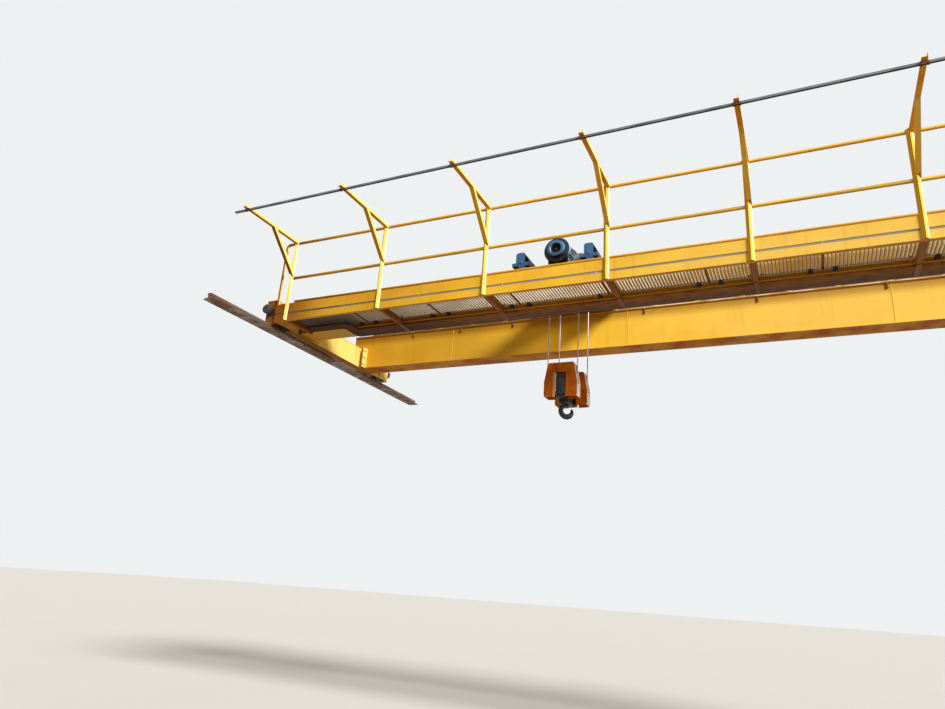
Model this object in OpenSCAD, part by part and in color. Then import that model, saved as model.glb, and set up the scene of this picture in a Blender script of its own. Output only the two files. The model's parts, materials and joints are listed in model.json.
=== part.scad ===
// Double girder overhead travelling crane with a side walkway and a rope hoist crab.
// X runs along the bridge from the left rail, Y along the runway, Z up from the rail foot.

/* [Runway rails] */
// Distance between the centre lines of the two runway rails
span = 13600; // [13000:100:14200]
// Length of each runway rail piece
rail_len = 5600; // [5400:100:7000]
// Height of the runway rail
rail_h = 85; // [70:1:100]
// Width of the runway rail head
rail_head_w = 65; // [55:1:70]
// Width of the runway rail foot
rail_foot_w = 200; // [180:1:240]
// Distance between the bolts along the rail foot
rail_bolt_pitch = 1400; // [1200:10:1500]
// Distance between the two rows of bolts in the rail foot
rail_bolt_rows = 152; // [140:1:160]
// Radius of the bolt holes in the rail foot
rail_bolt_r = 11; // [8:0.5:14]

/* [End carriages] */
// Distance from a wheel centre to the end of its carriage
carriage_over = 250; // [220:5:320]
// Width of an end carriage box
carriage_w = 180; // [180:5:230]
// Height of an end carriage box
carriage_h = 350; // [320:5:400]
// Plate thickness of an end carriage
carriage_t = 10; // [8:1:14]
// Free height of the carriage box over the rail head
carriage_lift = 35; // [25:1:45]
// Distance between the two wheels of a carriage
wheelbase = 2700; // [2500:50:2800]
// Radius of a travel wheel on its tread
wheel_r = 125; // [115:1:135]
// Height of the travel wheel flanges over the tread
wheel_flange_h = 18; // [12:1:20]
// Width of the travel wheel tread
wheel_tread_w = 80; // [76:1:86]
// Thickness of a travel wheel flange
wheel_flange_t = 20; // [14:1:24]
// Radius of a travel wheel axle
axle_r = 35; // [25:1:45]
// Reach of a travel drive motor from the wheel centre
drive_motor_len = 330; // [280:10:360]
// Length of a buffer
buffer_len = 130; // [100:5:180]
// Radius of a buffer
buffer_r = 70; // [50:1:85]

/* [Girders] */
// Distance between the centre lines of the two girders
girder_gauge = 1764; // [1700:2:1900]
// Height of a box girder over its flanges
girder_h = 595; // [570:5:650]
// Distance over the outer faces of the two webs
girder_w = 290; // [260:5:340]
// Width of the girder flanges
flange_w = 342; // [320:2:400]
// Thickness of the girder webs
web_t = 8; // [6:1:12]
// Thickness of the girder flanges
flange_t = 14; // [10:1:18]
// Thickness of the bolted joint plates
joint_plate_t = 30; // [20:1:40]
// Length of the stub that carries a joint plate on the end carriage
joint_stub_len = 60; // [40:5:80]
// Width of the bolted joint plates
joint_plate_w = 560; // [500:5:600]
// Width of a crab rail bar
crab_rail_w = 50; // [40:1:60]
// Distance from a girder centre line to its crab rail, over the inner web
crab_rail_in = 120; // [80:5:130]
// Height of a crab rail bar
crab_rail_h = 40; // [30:1:50]
// Distance from the rail centre line to the end of the crab rail
crab_rail_end = 260; // [200:10:400]

/* [Walkway] */
// Distance from the left rail centre line to the first handrail post
walk_inset = 367; // [360:1:420]
// Distance from the right rail centre line to the last handrail post
walk_inset_right = 405; // [360:1:420]
// Number of bays along the walkway
bays = 8; // [6:1:8]
// Distance from the bridge centre line to the outer face of the walkway
walk_out = 1680; // [1600:10:1800]
// Height of the outer channel
channel_h = 100; // [80:5:120]
// Width of the channel flanges
channel_flange = 50; // [40:1:60]
// Plate thickness of the outer channel
channel_t = 7; // [5:1:9]
// Distance from the girder underside down to the underside of the channel
channel_drop = 40; // [20:5:60]
// Width of a cross member
cross_w = 55; // [45:1:80]
// Plate thickness of a cross member
cross_t = 7; // [5:1:9]
// Height of the walkway grating
grating_h = 30; // [25:1:40]
// Distance between two grating bars
grating_pitch = 40; // [36:1:60]
// Width of a grating bar
grating_bar = 14; // [8:1:20]
// Length of the plain plate at each end of the walkway
end_plate_len = 900; // [850:10:1000]
// Thickness of the plain end plates
end_plate_t = 8; // [5:1:10]
// Height of the toe board
toe_h = 140; // [100:5:160]
// Thickness of the toe board
toe_t = 6; // [4:1:8]

/* [Handrail] */
// Height of the top rail centre over the channel underside
top_rail_up = 1265; // [1100:5:1350]
// Height of the middle rail centre over the channel underside
mid_rail_up = 681; // [600:1:750]
// Outer radius of the handrail tubes
rail_tube_r = 21; // [17:0.5:24]
// Leg length of the post angles
post_leg = 40; // [35:1:60]
// Leg thickness of the post angles
post_t = 6; // [4:1:8]
// Length of the walkway past the first and last posts
walk_tail = 212; // [190:1:260]
// Bend radius of the handrail tube at its closed ends
rail_bend_r = 60; // [40:5:90]
// Reach of the outrigger arms from the walkway
arm_reach = 1165; // [1000:5:1300]
// Distance from the post to where the brace meets the arm
brace_reach = 555; // [400:5:700]
// Leg length of the arm and brace angles
arm_leg = 35; // [30:1:55]

/* [Festoon rail and cable tray] */
// Width and height of the festoon rail
festoon_w = 35; // [30:1:50]
// Wall thickness of the festoon rail
festoon_t = 3; // [2:0.5:4]
// Distance from the arm tip to the middle of the festoon rail
festoon_in = 70; // [40:5:100]
// Width of the cable tray under the near girder
tray_w = 266; // [220:2:290]
// Width of the cable tray beyond its bend
tray_end_w = 170; // [140:5:180]
// Thickness of the tray plate
tray_t = 3; // [2:0.5:5]
// Distance from the first post to the start of the bend in the tray
tray_bend_at = 683; // [600:1:800]
// Sideways shift of the tray in its bend
tray_shift = 270; // [200:5:300]
// Thickness of the bars that hold the tray
hanger_t = 8; // [5:1:12]

/* [Crab] */
// Place of the crab along the bridge, from the left rail
crab_x = 4257; // [2000:1:11000]
// Distance between the crab wheels along the bridge
crab_base = 972; // [900:2:1200]
// Width of a crab end beam
crab_beam_w = 130; // [130:5:180]
// Height of a crab end beam
crab_beam_h = 200; // [180:5:240]
// Distance from a girder centre line to the end of a crab end beam
crab_beam_over = 90; // [80:5:150]
// Radius of a crab wheel on its tread
crab_wheel_r = 50; // [44:1:52]
// Height of the crab wheel flanges over the tread
crab_wheel_flange = 7; // [5:0.5:8]
// Radius of the hoist motor
motor_r = 187; // [150:1:200]
// Length of the hoist motor
motor_len = 340; // [300:10:380]
// Radius of the front ring of the fan cowl
cowl_r = 140; // [110:5:160]
// Radius of the opening in the fan cowl
cowl_hole_r = 72; // [50:1:100]
// Length of the rope drum
drum_len = 880; // [840:10:900]

/* [Hook block] */
// Height of the sheave axle over the rail foot, at rest
block_z = -705; // [-1200:5:-600]
// Offset of the hook block from the bridge centre line
block_y = -110; // [-150:5:50]
// Offset of the hook block from the crab middle along the bridge
block_x = -42; // [-80:1:50]
// Distance between the two sheaves
sheave_gap = 470; // [440:5:540]
// Radius of the rope on a sheave
sheave_r = 213; // [190:1:225]
// Radius of the hoist rope
rope_r = 6; // [5:0.5:8]
// Width of a sheave cover
cover_w = 470; // [460:5:540]
// Height of a sheave cover
cover_h = 485; // [470:5:540]
// Depth of a sheave cover
cover_d = 150; // [130:5:170]
// Plate thickness of a sheave cover
cover_t = 8; // [5:1:12]
// Inner radius of the hook bowl
hook_bowl_r = 50; // [40:1:60]
// Thickness of the hook at the bottom of its bowl
hook_thick = 76; // [60:1:84]
// Turn of the hook about its shank, at rest
hook_turn = 25; // [0:5:360]
// Radius of the hook shank
hook_shank_r = 30; // [26:1:36]

/* [Hidden] */
$fn = 48;

// Gap between faces of pieces that move past each other in contact, such as wheel and rail
seat = 0.3;
// Overlap that fuses two solids of one piece, and the over-cut of a hole
lap = 1;

yellow = "gold";
dark_yellow = "goldenrod";
blue = "steelblue";
rust = "chocolate";
galvanised = "silver";
dark = "dimgray";

carriage_len = wheelbase + 2 * carriage_over;
rail_top = rail_h;
carriage_bottom = rail_top + carriage_lift;
carriage_top = carriage_bottom + carriage_h;
wheel_z = rail_top + wheel_r + seat;

girder_bottom = carriage_bottom;
girder_top = girder_bottom + girder_h;
girder_start = carriage_w / 2 + joint_stub_len + joint_plate_t;
girder_nose = -carriage_w / 2;
crab_rail_top = girder_top + crab_rail_h;
crab_gauge = girder_gauge - 2 * crab_rail_in;

channel_bottom = girder_bottom - channel_drop;
channel_top = channel_bottom + channel_h;
grating_top = channel_top + grating_h;
toe_bottom = channel_top + grating_h - lap * 4;
walk_start = walk_inset;
walk_end = span - walk_inset_right;
bay = (walk_end - walk_start) / bays;
walk_in = girder_gauge / 2 + flange_w / 2 + seat;
cross_bottom = channel_bottom + channel_t;
rail_end_over = walk_tail - rail_tube_r;
tray_h = girder_bottom - cross_bottom;
top_rail_z = channel_bottom + top_rail_up;
mid_rail_z = channel_bottom + mid_rail_up;
post_back = -walk_out - toe_t;
rail_tube_y = post_back + rail_tube_r + seat;
arm_y = -walk_out - arm_reach;
festoon_z = top_rail_z - rail_tube_r - festoon_w;
tray_y = -girder_gauge / 2 - 13 - tray_w / 2;
tray_bottom = girder_bottom - tray_h;

crab_wheel_z = crab_rail_top + crab_wheel_r + seat;
crab_beam_bottom = crab_rail_top + 45;
crab_beam_t = 5;
crab_beam_top = crab_beam_bottom + crab_beam_h;
crab_half = girder_gauge / 2 + crab_beam_over;
deck_t = 12;
deck_top = crab_beam_bottom + deck_t;
drum_z = crab_beam_top + 50;
drum_r = sheave_r - rope_r - seat;
motor_y = -crab_half + 92;
motor_back = motor_y + motor_len;
motor_x = -25;
fins = 24;
drum_y = motor_back + 50;
drum_end = drum_y + drum_len;
groove_pitch = sheave_gap / 30;

terminal_box_w = 145;
terminal_box_d = 120;
terminal_box_h = 160;
terminal_box_up = 40;
terminal_box_x = crab_base / 2 - crab_beam_w / 2 - terminal_box_w / 2 - 75;

block_axle_r = 35.7;
yoke_t = 35;
plate_up = 45;
cheek_t = 12;
notch_w = 150;
sheave_half = 20;
sheave_hub = sheave_half + 8;
sheave_rim = sheave_r + 8;
yoke_top = -cover_h / 2 - seat;
yoke_bottom = yoke_top - yoke_t;
hook_neck = 32;
hook_start = -22;
hook_end = 288;
hook_tip = 24;
block_up = 70;
bowl_z = yoke_bottom - hook_bowl_r - hook_neck;

// Copies its children at both ends of the bridge, the second turned to face the first
module both_ends() {
    children();
    translate([span, 0, 0]) mirror([1, 0, 0]) children();
}

// Copies its children at each handrail post
module each_post() {
    for (i = [0 : bays]) translate([walk_start + i * bay, 0, 0]) children();
}

// Moves its children from the crab middle to where the crab stands
module on_crab() {
    translate([crab_x, 0, 0]) children();
}

// Moves its children from the block axle to where the block hangs
module on_block() {
    translate([crab_x + block_x, block_y, block_z]) children();
}

// A box given by its two corners
module block(low, high) {
    translate(low) cube(high - low);
}

// A round bar along Y from one place to another
module bar_y(r, from, to) {
    translate([0, from, 0]) rotate([-90, 0, 0]) cylinder(r = r, h = to - from);
}

// A round bar along X from one place to another
module bar_x(r, from, to) {
    translate([from, 0, 0]) rotate([0, 90, 0]) cylinder(r = r, h = to - from);
}

// Section of the runway rail: foot, web and head
module rail_section() {
    foot_t = rail_h * 0.18;
    head_t = rail_h * 0.42;
    web_w = rail_head_w * 0.6;
    polygon([
        [-rail_foot_w / 2, 0], [rail_foot_w / 2, 0], [rail_foot_w / 2, foot_t * 0.7],
        [web_w / 2, foot_t + 6], [web_w / 2, rail_h - head_t],
        [rail_head_w / 2, rail_h - head_t + 5], [rail_head_w / 2, rail_h],
        [-rail_head_w / 2, rail_h], [-rail_head_w / 2, rail_h - head_t + 5],
        [-web_w / 2, rail_h - head_t], [-web_w / 2, foot_t + 6],
        [-rail_foot_w / 2, foot_t * 0.7]
    ]);
}

module runway_rail() {
    color(dark) difference() {
        translate([0, rail_len / 2, 0]) rotate([90, 0, 0]) linear_extrude(rail_len) rail_section();
        for (i = [-1.5 : 1.5], side = [-1, 1])
            translate([side * rail_bolt_rows / 2, i * rail_bolt_pitch, -lap])
                cylinder(r = rail_bolt_r, h = rail_h);
    }
}

module rail_left() {
    runway_rail();
}

module rail_right() {
    translate([span, 0, 0]) runway_rail();
}

// Hollow box on two wheels, open below the wheels, with bored webs for the axles
module end_carriage() {
    inner_w = carriage_w - 2 * carriage_t;
    color(yellow) difference() {
        block([-carriage_w / 2, -carriage_len / 2, carriage_bottom],
              [carriage_w / 2, carriage_len / 2, carriage_top]);
        block([-inner_w / 2, -carriage_len / 2 + carriage_t, carriage_bottom + carriage_t],
              [inner_w / 2, carriage_len / 2 - carriage_t, carriage_top - carriage_t]);
        for (side = [-1, 1]) {
            translate([0, side * wheelbase / 2, 0]) {
                slot = wheel_r + wheel_flange_h + 15;
                block([-inner_w / 2, -slot, carriage_bottom - lap],
                      [inner_w / 2, slot, carriage_bottom + carriage_t + lap]);
                translate([0, 0, wheel_z]) bar_x(axle_r + seat, -carriage_w, carriage_w);
            }
        }
    }
}

module end_carriage_left() {
    end_carriage();
}

module end_carriage_right() {
    translate([span, 0, 0]) end_carriage();
}

// A double flanged wheel with its axle
module travel_wheel() {
    bar_x(wheel_r, -wheel_tread_w / 2, wheel_tread_w / 2);
    for (side = [0, 1]) mirror([side, 0, 0])
        translate([wheel_tread_w / 2, 0, 0])
            bar_x(wheel_r + wheel_flange_h, -lap, wheel_flange_t);
    bar_x(axle_r + 20, -carriage_w / 2 + carriage_t + 3, carriage_w / 2 - carriage_t - 3);
    bar_x(axle_r, -carriage_w / 2, carriage_w / 2);
}

module travel_wheels() {
    color(dark) for (side = [-1, 1])
        translate([0, side * wheelbase / 2, wheel_z]) travel_wheel();
}

module travel_wheels_left() {
    travel_wheels();
}

module travel_wheels_right() {
    translate([span, 0, 0]) travel_wheels();
}

// Round rubber buffers with a base plate on both ends of each carriage
module buffers() {
    buffer_z = carriage_bottom + carriage_h / 2;
    color("black") for (x = [0, span], side = [0, 1]) mirror([0, side, 0])
        translate([x, carriage_len / 2, buffer_z]) {
            bar_y(buffer_r * 1.1, 0, 12);
            rotate([-90, 0, 0]) rotate_extrude()
                polygon([[0, 0], [buffer_r * 0.8, 0], [buffer_r * 0.8, 30], [buffer_r, 45],
                         [buffer_r, buffer_len - 15], [buffer_r - 15, buffer_len], [0, buffer_len]]);
        }
}

// Geared motors that hang on the outer side of the carriages and turn one wheel each
module travel_drives() {
    case_w = 90;
    motor_at = 60;
    motor_r1 = 50;
    case_top = wheel_r + 25;
    color(blue) both_ends() translate([0, wheelbase / 2, wheel_z]) {
        x0 = -carriage_w / 2 - seat;
        block([x0 - case_w, -80, -90], [x0, 80, case_top]);
        translate([x0 - motor_at, 0, 90]) bar_y(motor_r1, motor_at, drive_motor_len);
        translate([x0 - motor_at, 0, 90]) bar_y(motor_r1 + 8, drive_motor_len - 30, drive_motor_len + 20);
    }
}

// Side outline of a girder, with the raised nose that rides over the end carriage
module girder_outline() {
    low = girder_bottom + flange_t;
    high = girder_top - flange_t;
    nose = carriage_top + flange_t;
    polygon([
        [girder_nose, nose], [girder_start, nose], [girder_start, low],
        [span - girder_start, low], [span - girder_start, nose],
        [span - girder_nose, nose], [span - girder_nose, high], [girder_nose, high]
    ]);
}

// Welded box girder: two webs, top and bottom flanges and nose soffits
module girder() {
    color(yellow) {
        for (y = [-girder_w / 2, girder_w / 2 - web_t])
            translate([0, y + web_t, 0]) rotate([90, 0, 0]) linear_extrude(web_t) girder_outline();
        block([girder_nose, -flange_w / 2, girder_top - flange_t],
              [span - girder_nose, flange_w / 2, girder_top]);
        block([girder_start, -flange_w / 2, girder_bottom],
              [span - girder_start, flange_w / 2, girder_bottom + flange_t]);
        for (x = [girder_nose, span - girder_start])
            block([x, -flange_w / 2, carriage_top],
                  [x + girder_start - girder_nose, flange_w / 2, carriage_top + flange_t]);
    }
}

module girder_near() {
    translate([0, -girder_gauge / 2, 0]) girder();
}

module girder_far() {
    translate([0, girder_gauge / 2, 0]) girder();
}

// End plates that bolt the girders to the inner faces of the end carriages
module joint_plates() {
    plate_h = carriage_top - girder_bottom - seat;
    color(dark_yellow) both_ends() for (side = [0, 1]) mirror([0, side, 0])
        translate([carriage_w / 2, girder_gauge / 2, girder_bottom]) {
            block([0, -girder_w / 2, 0], [joint_stub_len + lap, girder_w / 2, plate_h]);
            block([joint_stub_len, -joint_plate_w / 2, 0], [joint_stub_len + joint_plate_t, flange_w / 2, plate_h]);
        }
}

// Plates that close the raised noses of the girders
module nose_plates() {
    color(dark_yellow) both_ends() for (side = [-1, 1])
        translate([girder_nose, side * girder_gauge / 2, carriage_top])
            block([-10, -girder_w / 2, 0], [0, girder_w / 2, girder_top - carriage_top]);
}

// Crab rail bar between its two end stops
module crab_rail() {
    stop_len = 60;
    color(dark) {
        block([crab_rail_end + stop_len + seat, -crab_rail_w / 2, girder_top],
              [span - crab_rail_end - stop_len - seat, crab_rail_w / 2, crab_rail_top]);
        for (x = [crab_rail_end, span - crab_rail_end - stop_len])
            block([x, -crab_rail_w / 2, girder_top], [x + stop_len, crab_rail_w / 2, crab_wheel_z + crab_wheel_r]);
    }
}

module crab_rail_near() {
    translate([0, -crab_gauge / 2, 0]) crab_rail();
}

module crab_rail_far() {
    translate([0, crab_gauge / 2, 0]) crab_rail();
}

// Outer channel of the walkway with short returns at its two ends
module walkway_channel() {
    color(yellow) translate([walk_start - walk_tail, -walk_out, channel_bottom]) {
        len = walk_end - walk_start + 2 * walk_tail;
        difference() {
            cube([len, channel_flange, channel_h]);
            block([-lap, channel_t, channel_t], [len + lap, channel_flange + lap, channel_h - channel_t]);
        }
        for (x = [0, len - channel_t]) translate([x, 0, 0]) cube([channel_t, channel_flange, channel_h]);
    }
}

// Cross members from the channel to the near girder: flat channels with their legs up
module cross_members() {
    high = channel_top - channel_t;
    color(dark_yellow) each_post() difference() {
        block([-cross_w / 2, -walk_out + channel_t, cross_bottom], [cross_w / 2, -walk_in, high]);
        block([-cross_w / 2 + cross_t, -walk_out, cross_bottom + cross_t], [cross_w / 2 - cross_t, 0, high + lap]);
    }
}

// Bar grating: cross bars along the walkway's width, fused to two edge bars and a middle one
module grating_panel(len) {
    depth = walk_out - walk_in;
    count = floor(len / grating_pitch);
    first = (len - (count - 1) * grating_pitch) / 2;
    for (i = [0 : count - 1])
        translate([first + i * grating_pitch - grating_bar / 2, 0, 0])
            cube([grating_bar, depth, grating_h]);
    for (y = [0, depth - 5]) translate([first, y, 0]) cube([(count - 1) * grating_pitch, 5, grating_h]);
    translate([first, depth / 2, grating_h - 8]) cube([(count - 1) * grating_pitch, 6, 8]);
}

module walkway_grating() {
    panel_gap = 6;
    start = walk_start - walk_tail + end_plate_len;
    stop = walk_end + walk_tail - end_plate_len;
    edges = [start, for (i = [1 : bays - 2]) walk_start + (i + 0.7) * bay, stop];
    color(galvanised) for (i = [0 : len(edges) - 2])
        if (edges[i + 1] - edges[i] > bay / 4)
            translate([edges[i] + panel_gap / 2, -walk_out, channel_top])
                grating_panel(edges[i + 1] - edges[i] - panel_gap);
}

// Plain plates at the two ends of the walkway
module walkway_end_plates() {
    color(dark) for (x = [walk_start - walk_tail, walk_end + walk_tail - end_plate_len])
        translate([x, -walk_out, channel_top]) cube([end_plate_len, walk_out - walk_in, end_plate_t]);
}

module toe_board() {
    color(yellow) translate([walk_start - walk_tail, -walk_out - toe_t, toe_bottom]) {
        cube([walk_end - walk_start + 2 * walk_tail, toe_t, toe_h]);
        for (x = [0, walk_end - walk_start + 2 * walk_tail - toe_t])
            translate([x, 0, 0]) cube([toe_t, walk_out - walk_in, toe_h]);
    }
}

// An upright angle with its corner outwards and the edges of both legs on the plane y = 0
module angle_post(leg, t, h) {
    side = leg / sqrt(2);
    skin = t * sqrt(2);
    linear_extrude(h) polygon([[-side, 0], [0, -side], [side, 0], [side - skin, 0], [0, -side + skin], [-side + skin, 0]]);
}

module handrail_posts() {
    color(yellow) each_post() translate([0, post_back, channel_bottom])
        angle_post(post_leg, post_t, top_rail_up + rail_tube_r);
}

// Horizontal arms outside the posts, each with a brace from the middle rail
module outrigger_arms() {
    root_y = post_back;
    side = post_leg / sqrt(2) + seat;
    brace_y = -walk_out - brace_reach;
    low = top_rail_z - rail_tube_r;
    high = low + arm_leg;
    foot_y = root_y - 46;
    head_y = brace_y - arm_leg * 0.4;
    foot_z = mid_rail_z + (low + lap - mid_rail_z) * (root_y - foot_y) / (root_y - head_y);
    color(yellow) each_post() translate([side, 0, 0]) {
        block([0, arm_y, low], [post_t, root_y, high]);
        block([post_t - arm_leg, arm_y, low], [post_t, root_y - side - 4, low + post_t]);
        rotate([90, 0, 90]) linear_extrude(post_t) polygon([
            [root_y, mid_rail_z], [root_y, mid_rail_z + arm_leg * 1.4],
            [brace_y + arm_leg * 0.8, low + lap], [head_y, low + lap]
        ]);
        rotate([90, 0, 90]) translate([0, 0, post_t - arm_leg]) linear_extrude(arm_leg) polygon([
            [foot_y, foot_z], [foot_y, foot_z + post_t * 1.4], [head_y + post_t, low + lap], [head_y, low + lap]
        ]);
    }
}

// Top handrail tube: its two ends bend down and stand on the corners of the toe board
module top_rail() {
    from = walk_start - rail_end_over;
    to = walk_end + rail_end_over;
    foot = toe_bottom + toe_h + seat;
    color(yellow) translate([0, rail_tube_y, top_rail_z]) {
        bar_x(rail_tube_r, from + rail_bend_r, to - rail_bend_r);
        for (end = [[from, 0], [to, 1]]) translate([end[0], 0, 0]) mirror([end[1], 0, 0]) {
            translate([rail_bend_r, 0, -rail_bend_r]) rotate([90, 0, 0]) rotate([0, 0, 90])
                rotate_extrude(angle = 90) translate([rail_bend_r, 0]) circle(r = rail_tube_r);
            translate([0, 0, foot - top_rail_z]) cylinder(r = rail_tube_r, h = top_rail_z - foot - rail_bend_r);
        }
    }
}

module middle_rail() {
    over = post_leg / 2;
    color(yellow) translate([0, rail_tube_y, mid_rail_z]) bar_x(rail_tube_r, walk_start - over, walk_end + over);
}

// Festoon rail: a C section, open below, under the tips of the arms
module festoon_rail() {
    y = arm_y + festoon_in;
    lip = festoon_w * 0.28;
    color(dark) translate([walk_start - walk_tail, y - festoon_w / 2, festoon_z - seat])
        difference() {
            cube([walk_end - walk_start + 2 * walk_tail, festoon_w, festoon_w]);
            translate([-lap, festoon_t, festoon_t])
                cube([2 * span, festoon_w - 2 * festoon_t, festoon_w - 2 * festoon_t]);
            translate([-lap, lip, -lap]) cube([2 * span, festoon_w - 2 * lip, festoon_t + 2 * lap]);
        }
}

// Cable tray under the near girder, with a sideways bend towards the walkway at its left end
module cable_tray() {
    from = walk_start + 110;
    to = walk_end - 110;
    bend = walk_start + tray_bend_at;
    out_y = tray_y - tray_shift;
    wall = tray_t * 2;
    low = [[from, out_y], [bend + tray_end_w * 0.6, out_y], [bend + tray_end_w, out_y + 60],
           [bend + tray_end_w, tray_y], [to, tray_y]];
    high = [[from, out_y + tray_end_w], [bend - 40, out_y + tray_end_w], [bend, out_y + tray_end_w + 40],
            [bend, tray_y + tray_w - 40], [bend + 40, tray_y + tray_w], [to, tray_y + tray_w]];
    middle = [[bend + tray_end_w, tray_y + tray_w / 2], [to, tray_y + tray_w / 2]];
    color(dark) translate([0, 0, tray_bottom]) {
        linear_extrude(tray_t) polygon(concat(low, [for (i = [len(high) - 1 : -1 : 0]) high[i]]));
        linear_extrude(tray_h - seat) for (line = [low, high, middle]) tray_edge(line, wall);
    }
}

// Upright edge of the tray: a thin strip along a line of corner points
module tray_edge(points, t) {
    for (p = points) translate(p) circle(r = t / 2);
    for (i = [0 : len(points) - 2]) {
        a = points[i];
        b = points[i + 1];
        n = [a[1] - b[1], b[0] - a[0]] * t / 2 / norm(b - a);
        polygon([a - n, b - n, b + n, a + n]);
    }
}

module tray_hangers() {
    color(dark_yellow) for (i = [1 : bays - 1]) translate([walk_start + i * bay, 0, 0])
        block([-cross_w / 2, -walk_in - 40, tray_bottom - hanger_t],
              [cross_w / 2, tray_y + tray_w, tray_bottom]);
}

// Crab end beam: a box along Y with rounded upper corners that holds a wheel near each end
module crab_beam() {
    round_r = 35;
    foot_w = crab_beam_w + 110;
    foot_h = 50;
    window_len = 150;
    color(blue) difference() {
        union() {
            translate([0, crab_half, crab_beam_bottom]) rotate([90, 0, 0])
                linear_extrude(2 * crab_half) crab_beam_outline(crab_beam_w, crab_beam_h, round_r);
            for (side = [-1, 1]) translate([0, side * girder_gauge / 2, crab_beam_bottom])
                block([-foot_w / 2, -crab_beam_over, 0], [foot_w / 2, crab_beam_over, foot_h]);
        }
        translate([0, crab_half - 10, crab_beam_bottom - lap]) rotate([90, 0, 0])
            linear_extrude(2 * crab_half - 20)
                crab_beam_outline(crab_beam_w - 2 * crab_beam_t, crab_beam_h - crab_beam_t, round_r);
        for (side = [0, 1]) mirror([0, side, 0])
            block([-crab_beam_w, crab_half - window_len - 10, crab_beam_bottom + foot_h + 5],
                  [crab_beam_w, crab_half - 10, crab_beam_top - round_r]);
    }
    color(blue) difference() {
        for (side = [-1, 1], edge = [-1, 1])
            translate([0, side * crab_gauge / 2 + edge * 62, crab_beam_bottom])
                block([-crab_beam_w / 2 + lap, -5, 0], [crab_beam_w / 2 - lap, 5, 90]);
        translate([0, 0, crab_wheel_z]) bar_y(20 + seat, -crab_half, crab_half);
    }
}

module crab_beam_outline(w, h, r) {
    translate([-w / 2, 0]) square([w, h - r]);
    translate([-w / 2 + r, 0]) square([w - 2 * r, h]);
    for (side = [-1, 1]) translate([side * (w / 2 - r), h - r]) circle(r = r);
}

module crab_beam_left() {
    on_crab() translate([-crab_base / 2, 0, 0]) crab_beam();
}

module crab_beam_right() {
    on_crab() translate([crab_base / 2, 0, 0]) crab_beam();
}

// Deck between the end beams, open over the rope falls
module crab_deck() {
    half = crab_base / 2 - crab_beam_w / 2;
    reach = girder_gauge / 2 - crab_beam_over - seat;
    color(blue) on_crab() difference() {
        block([-half, -reach, crab_beam_bottom], [half, reach, deck_top]);
        block([-half + 90, drum_y + 30, crab_beam_bottom - lap],
              [half - 90, drum_end - 60, deck_top + lap]);
    }
}

module crab_wheel() {
    bar_y(crab_wheel_r, -30, 30);
    for (side = [0, 1]) mirror([0, side, 0]) bar_y(crab_wheel_r + crab_wheel_flange, 30 - lap, 42);
    bar_y(30, -54, 54);
    bar_y(20, -72, 72);
}

module crab_wheels() {
    color(dark) on_crab() for (x = [-1, 1], y = [-1, 1])
        translate([x * (crab_base / 2), y * crab_gauge / 2, crab_wheel_z]) crab_wheel();
}

// Geared motor that drives the crab along the bridge
module crab_drive() {
    motor_x = 54;
    color(blue) on_crab() translate([crab_base / 2 + crab_beam_w / 2, 200, crab_beam_bottom + 60]) {
        block([0, -60, -60], [90, 60, 60]);
        translate([motor_x, 0, 0]) bar_y(52, 60, 300);
    }
}

// Hoist motor with its fan cowl towards the walkway
module hoist_motor() {
    cowl_len = 85;
    ring_t = 22;
    fan_deep = 60;
    color(blue) on_crab() translate([motor_x, 0, drum_z]) {
        translate([0, motor_y, 0]) rotate([-90, 0, 0]) rotate_extrude() polygon([
            [cowl_hole_r, 0], [cowl_r, 0], [cowl_r + 6, ring_t], [motor_r - 8, ring_t + 12],
            [motor_r, cowl_len - 20], [motor_r, cowl_len], [motor_r - 14, cowl_len], [motor_r - 14, cowl_len + 12],
            [0, cowl_len + 12], [0, fan_deep], [cowl_hole_r, fan_deep]
        ]);
        bar_y(motor_r - 22, motor_y + cowl_len, motor_back);
        for (i = [0 : fins - 1]) rotate([0, i * 360 / fins, 0])
            block([-4, motor_y + cowl_len, motor_r - 30], [4, motor_back - 30, motor_r - 6]);
        for (x = [-1, 1]) block([x * 120 - 25, motor_y + 120, deck_top - drum_z],
                                [x * 120 + 25, motor_back - 60, -motor_r / 2]);
    }
}

// Terminal box of the crab on a short stand, at the walkway edge of the deck
module terminal_box() {
    edge = -girder_gauge / 2 + crab_beam_over + seat;
    color("gray") on_crab() translate([terminal_box_x, edge, deck_top]) {
        block([-terminal_box_w / 2, 0, terminal_box_up],
              [terminal_box_w / 2, terminal_box_d, terminal_box_up + terminal_box_h]);
        block([-terminal_box_w / 2 + 20, 15, 0],
              [terminal_box_w / 2 - 20, terminal_box_d - 15, terminal_box_up + lap]);
    }
}

module hoist_gearbox() {
    color(blue) on_crab() translate([block_x, 0, 0])
        block([-190, drum_end + 1, deck_top], [190, drum_end + 175, drum_z + 170]);
}

// Grooved rope drum on its shaft
module rope_drum() {
    from = block_y - sheave_gap / 2 - 5.5 * groove_pitch;
    grooves = floor((drum_end - 40 - from) / groove_pitch);
    deep = groove_pitch * 0.15;
    color(dark) on_crab() translate([block_x, 0, drum_z]) {
        translate([0, from, 0]) rotate([-90, 0, 0]) rotate_extrude() polygon(concat(
            [[0, 0]],
            [for (i = [0 : grooves - 1], p = [[0, 0.1], [-1, 0.35], [-1, 0.65], [0, 0.9]])
                [drum_r + deep + p[0] * deep, (i + p[1]) * groove_pitch]],
            [[0, grooves * groove_pitch]]
        ));
        for (y = [from - 12, from + grooves * groove_pitch]) bar_y(drum_r + 22, y - lap, y + 12 + lap);
        bar_y(40, drum_y + 0.5, drum_end + 0.5);
    }
}

module drum_bearing() {
    color(blue) on_crab() block([-150, motor_back + 0.3, deck_top], [110, drum_y, drum_z + 60]);
}

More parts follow.
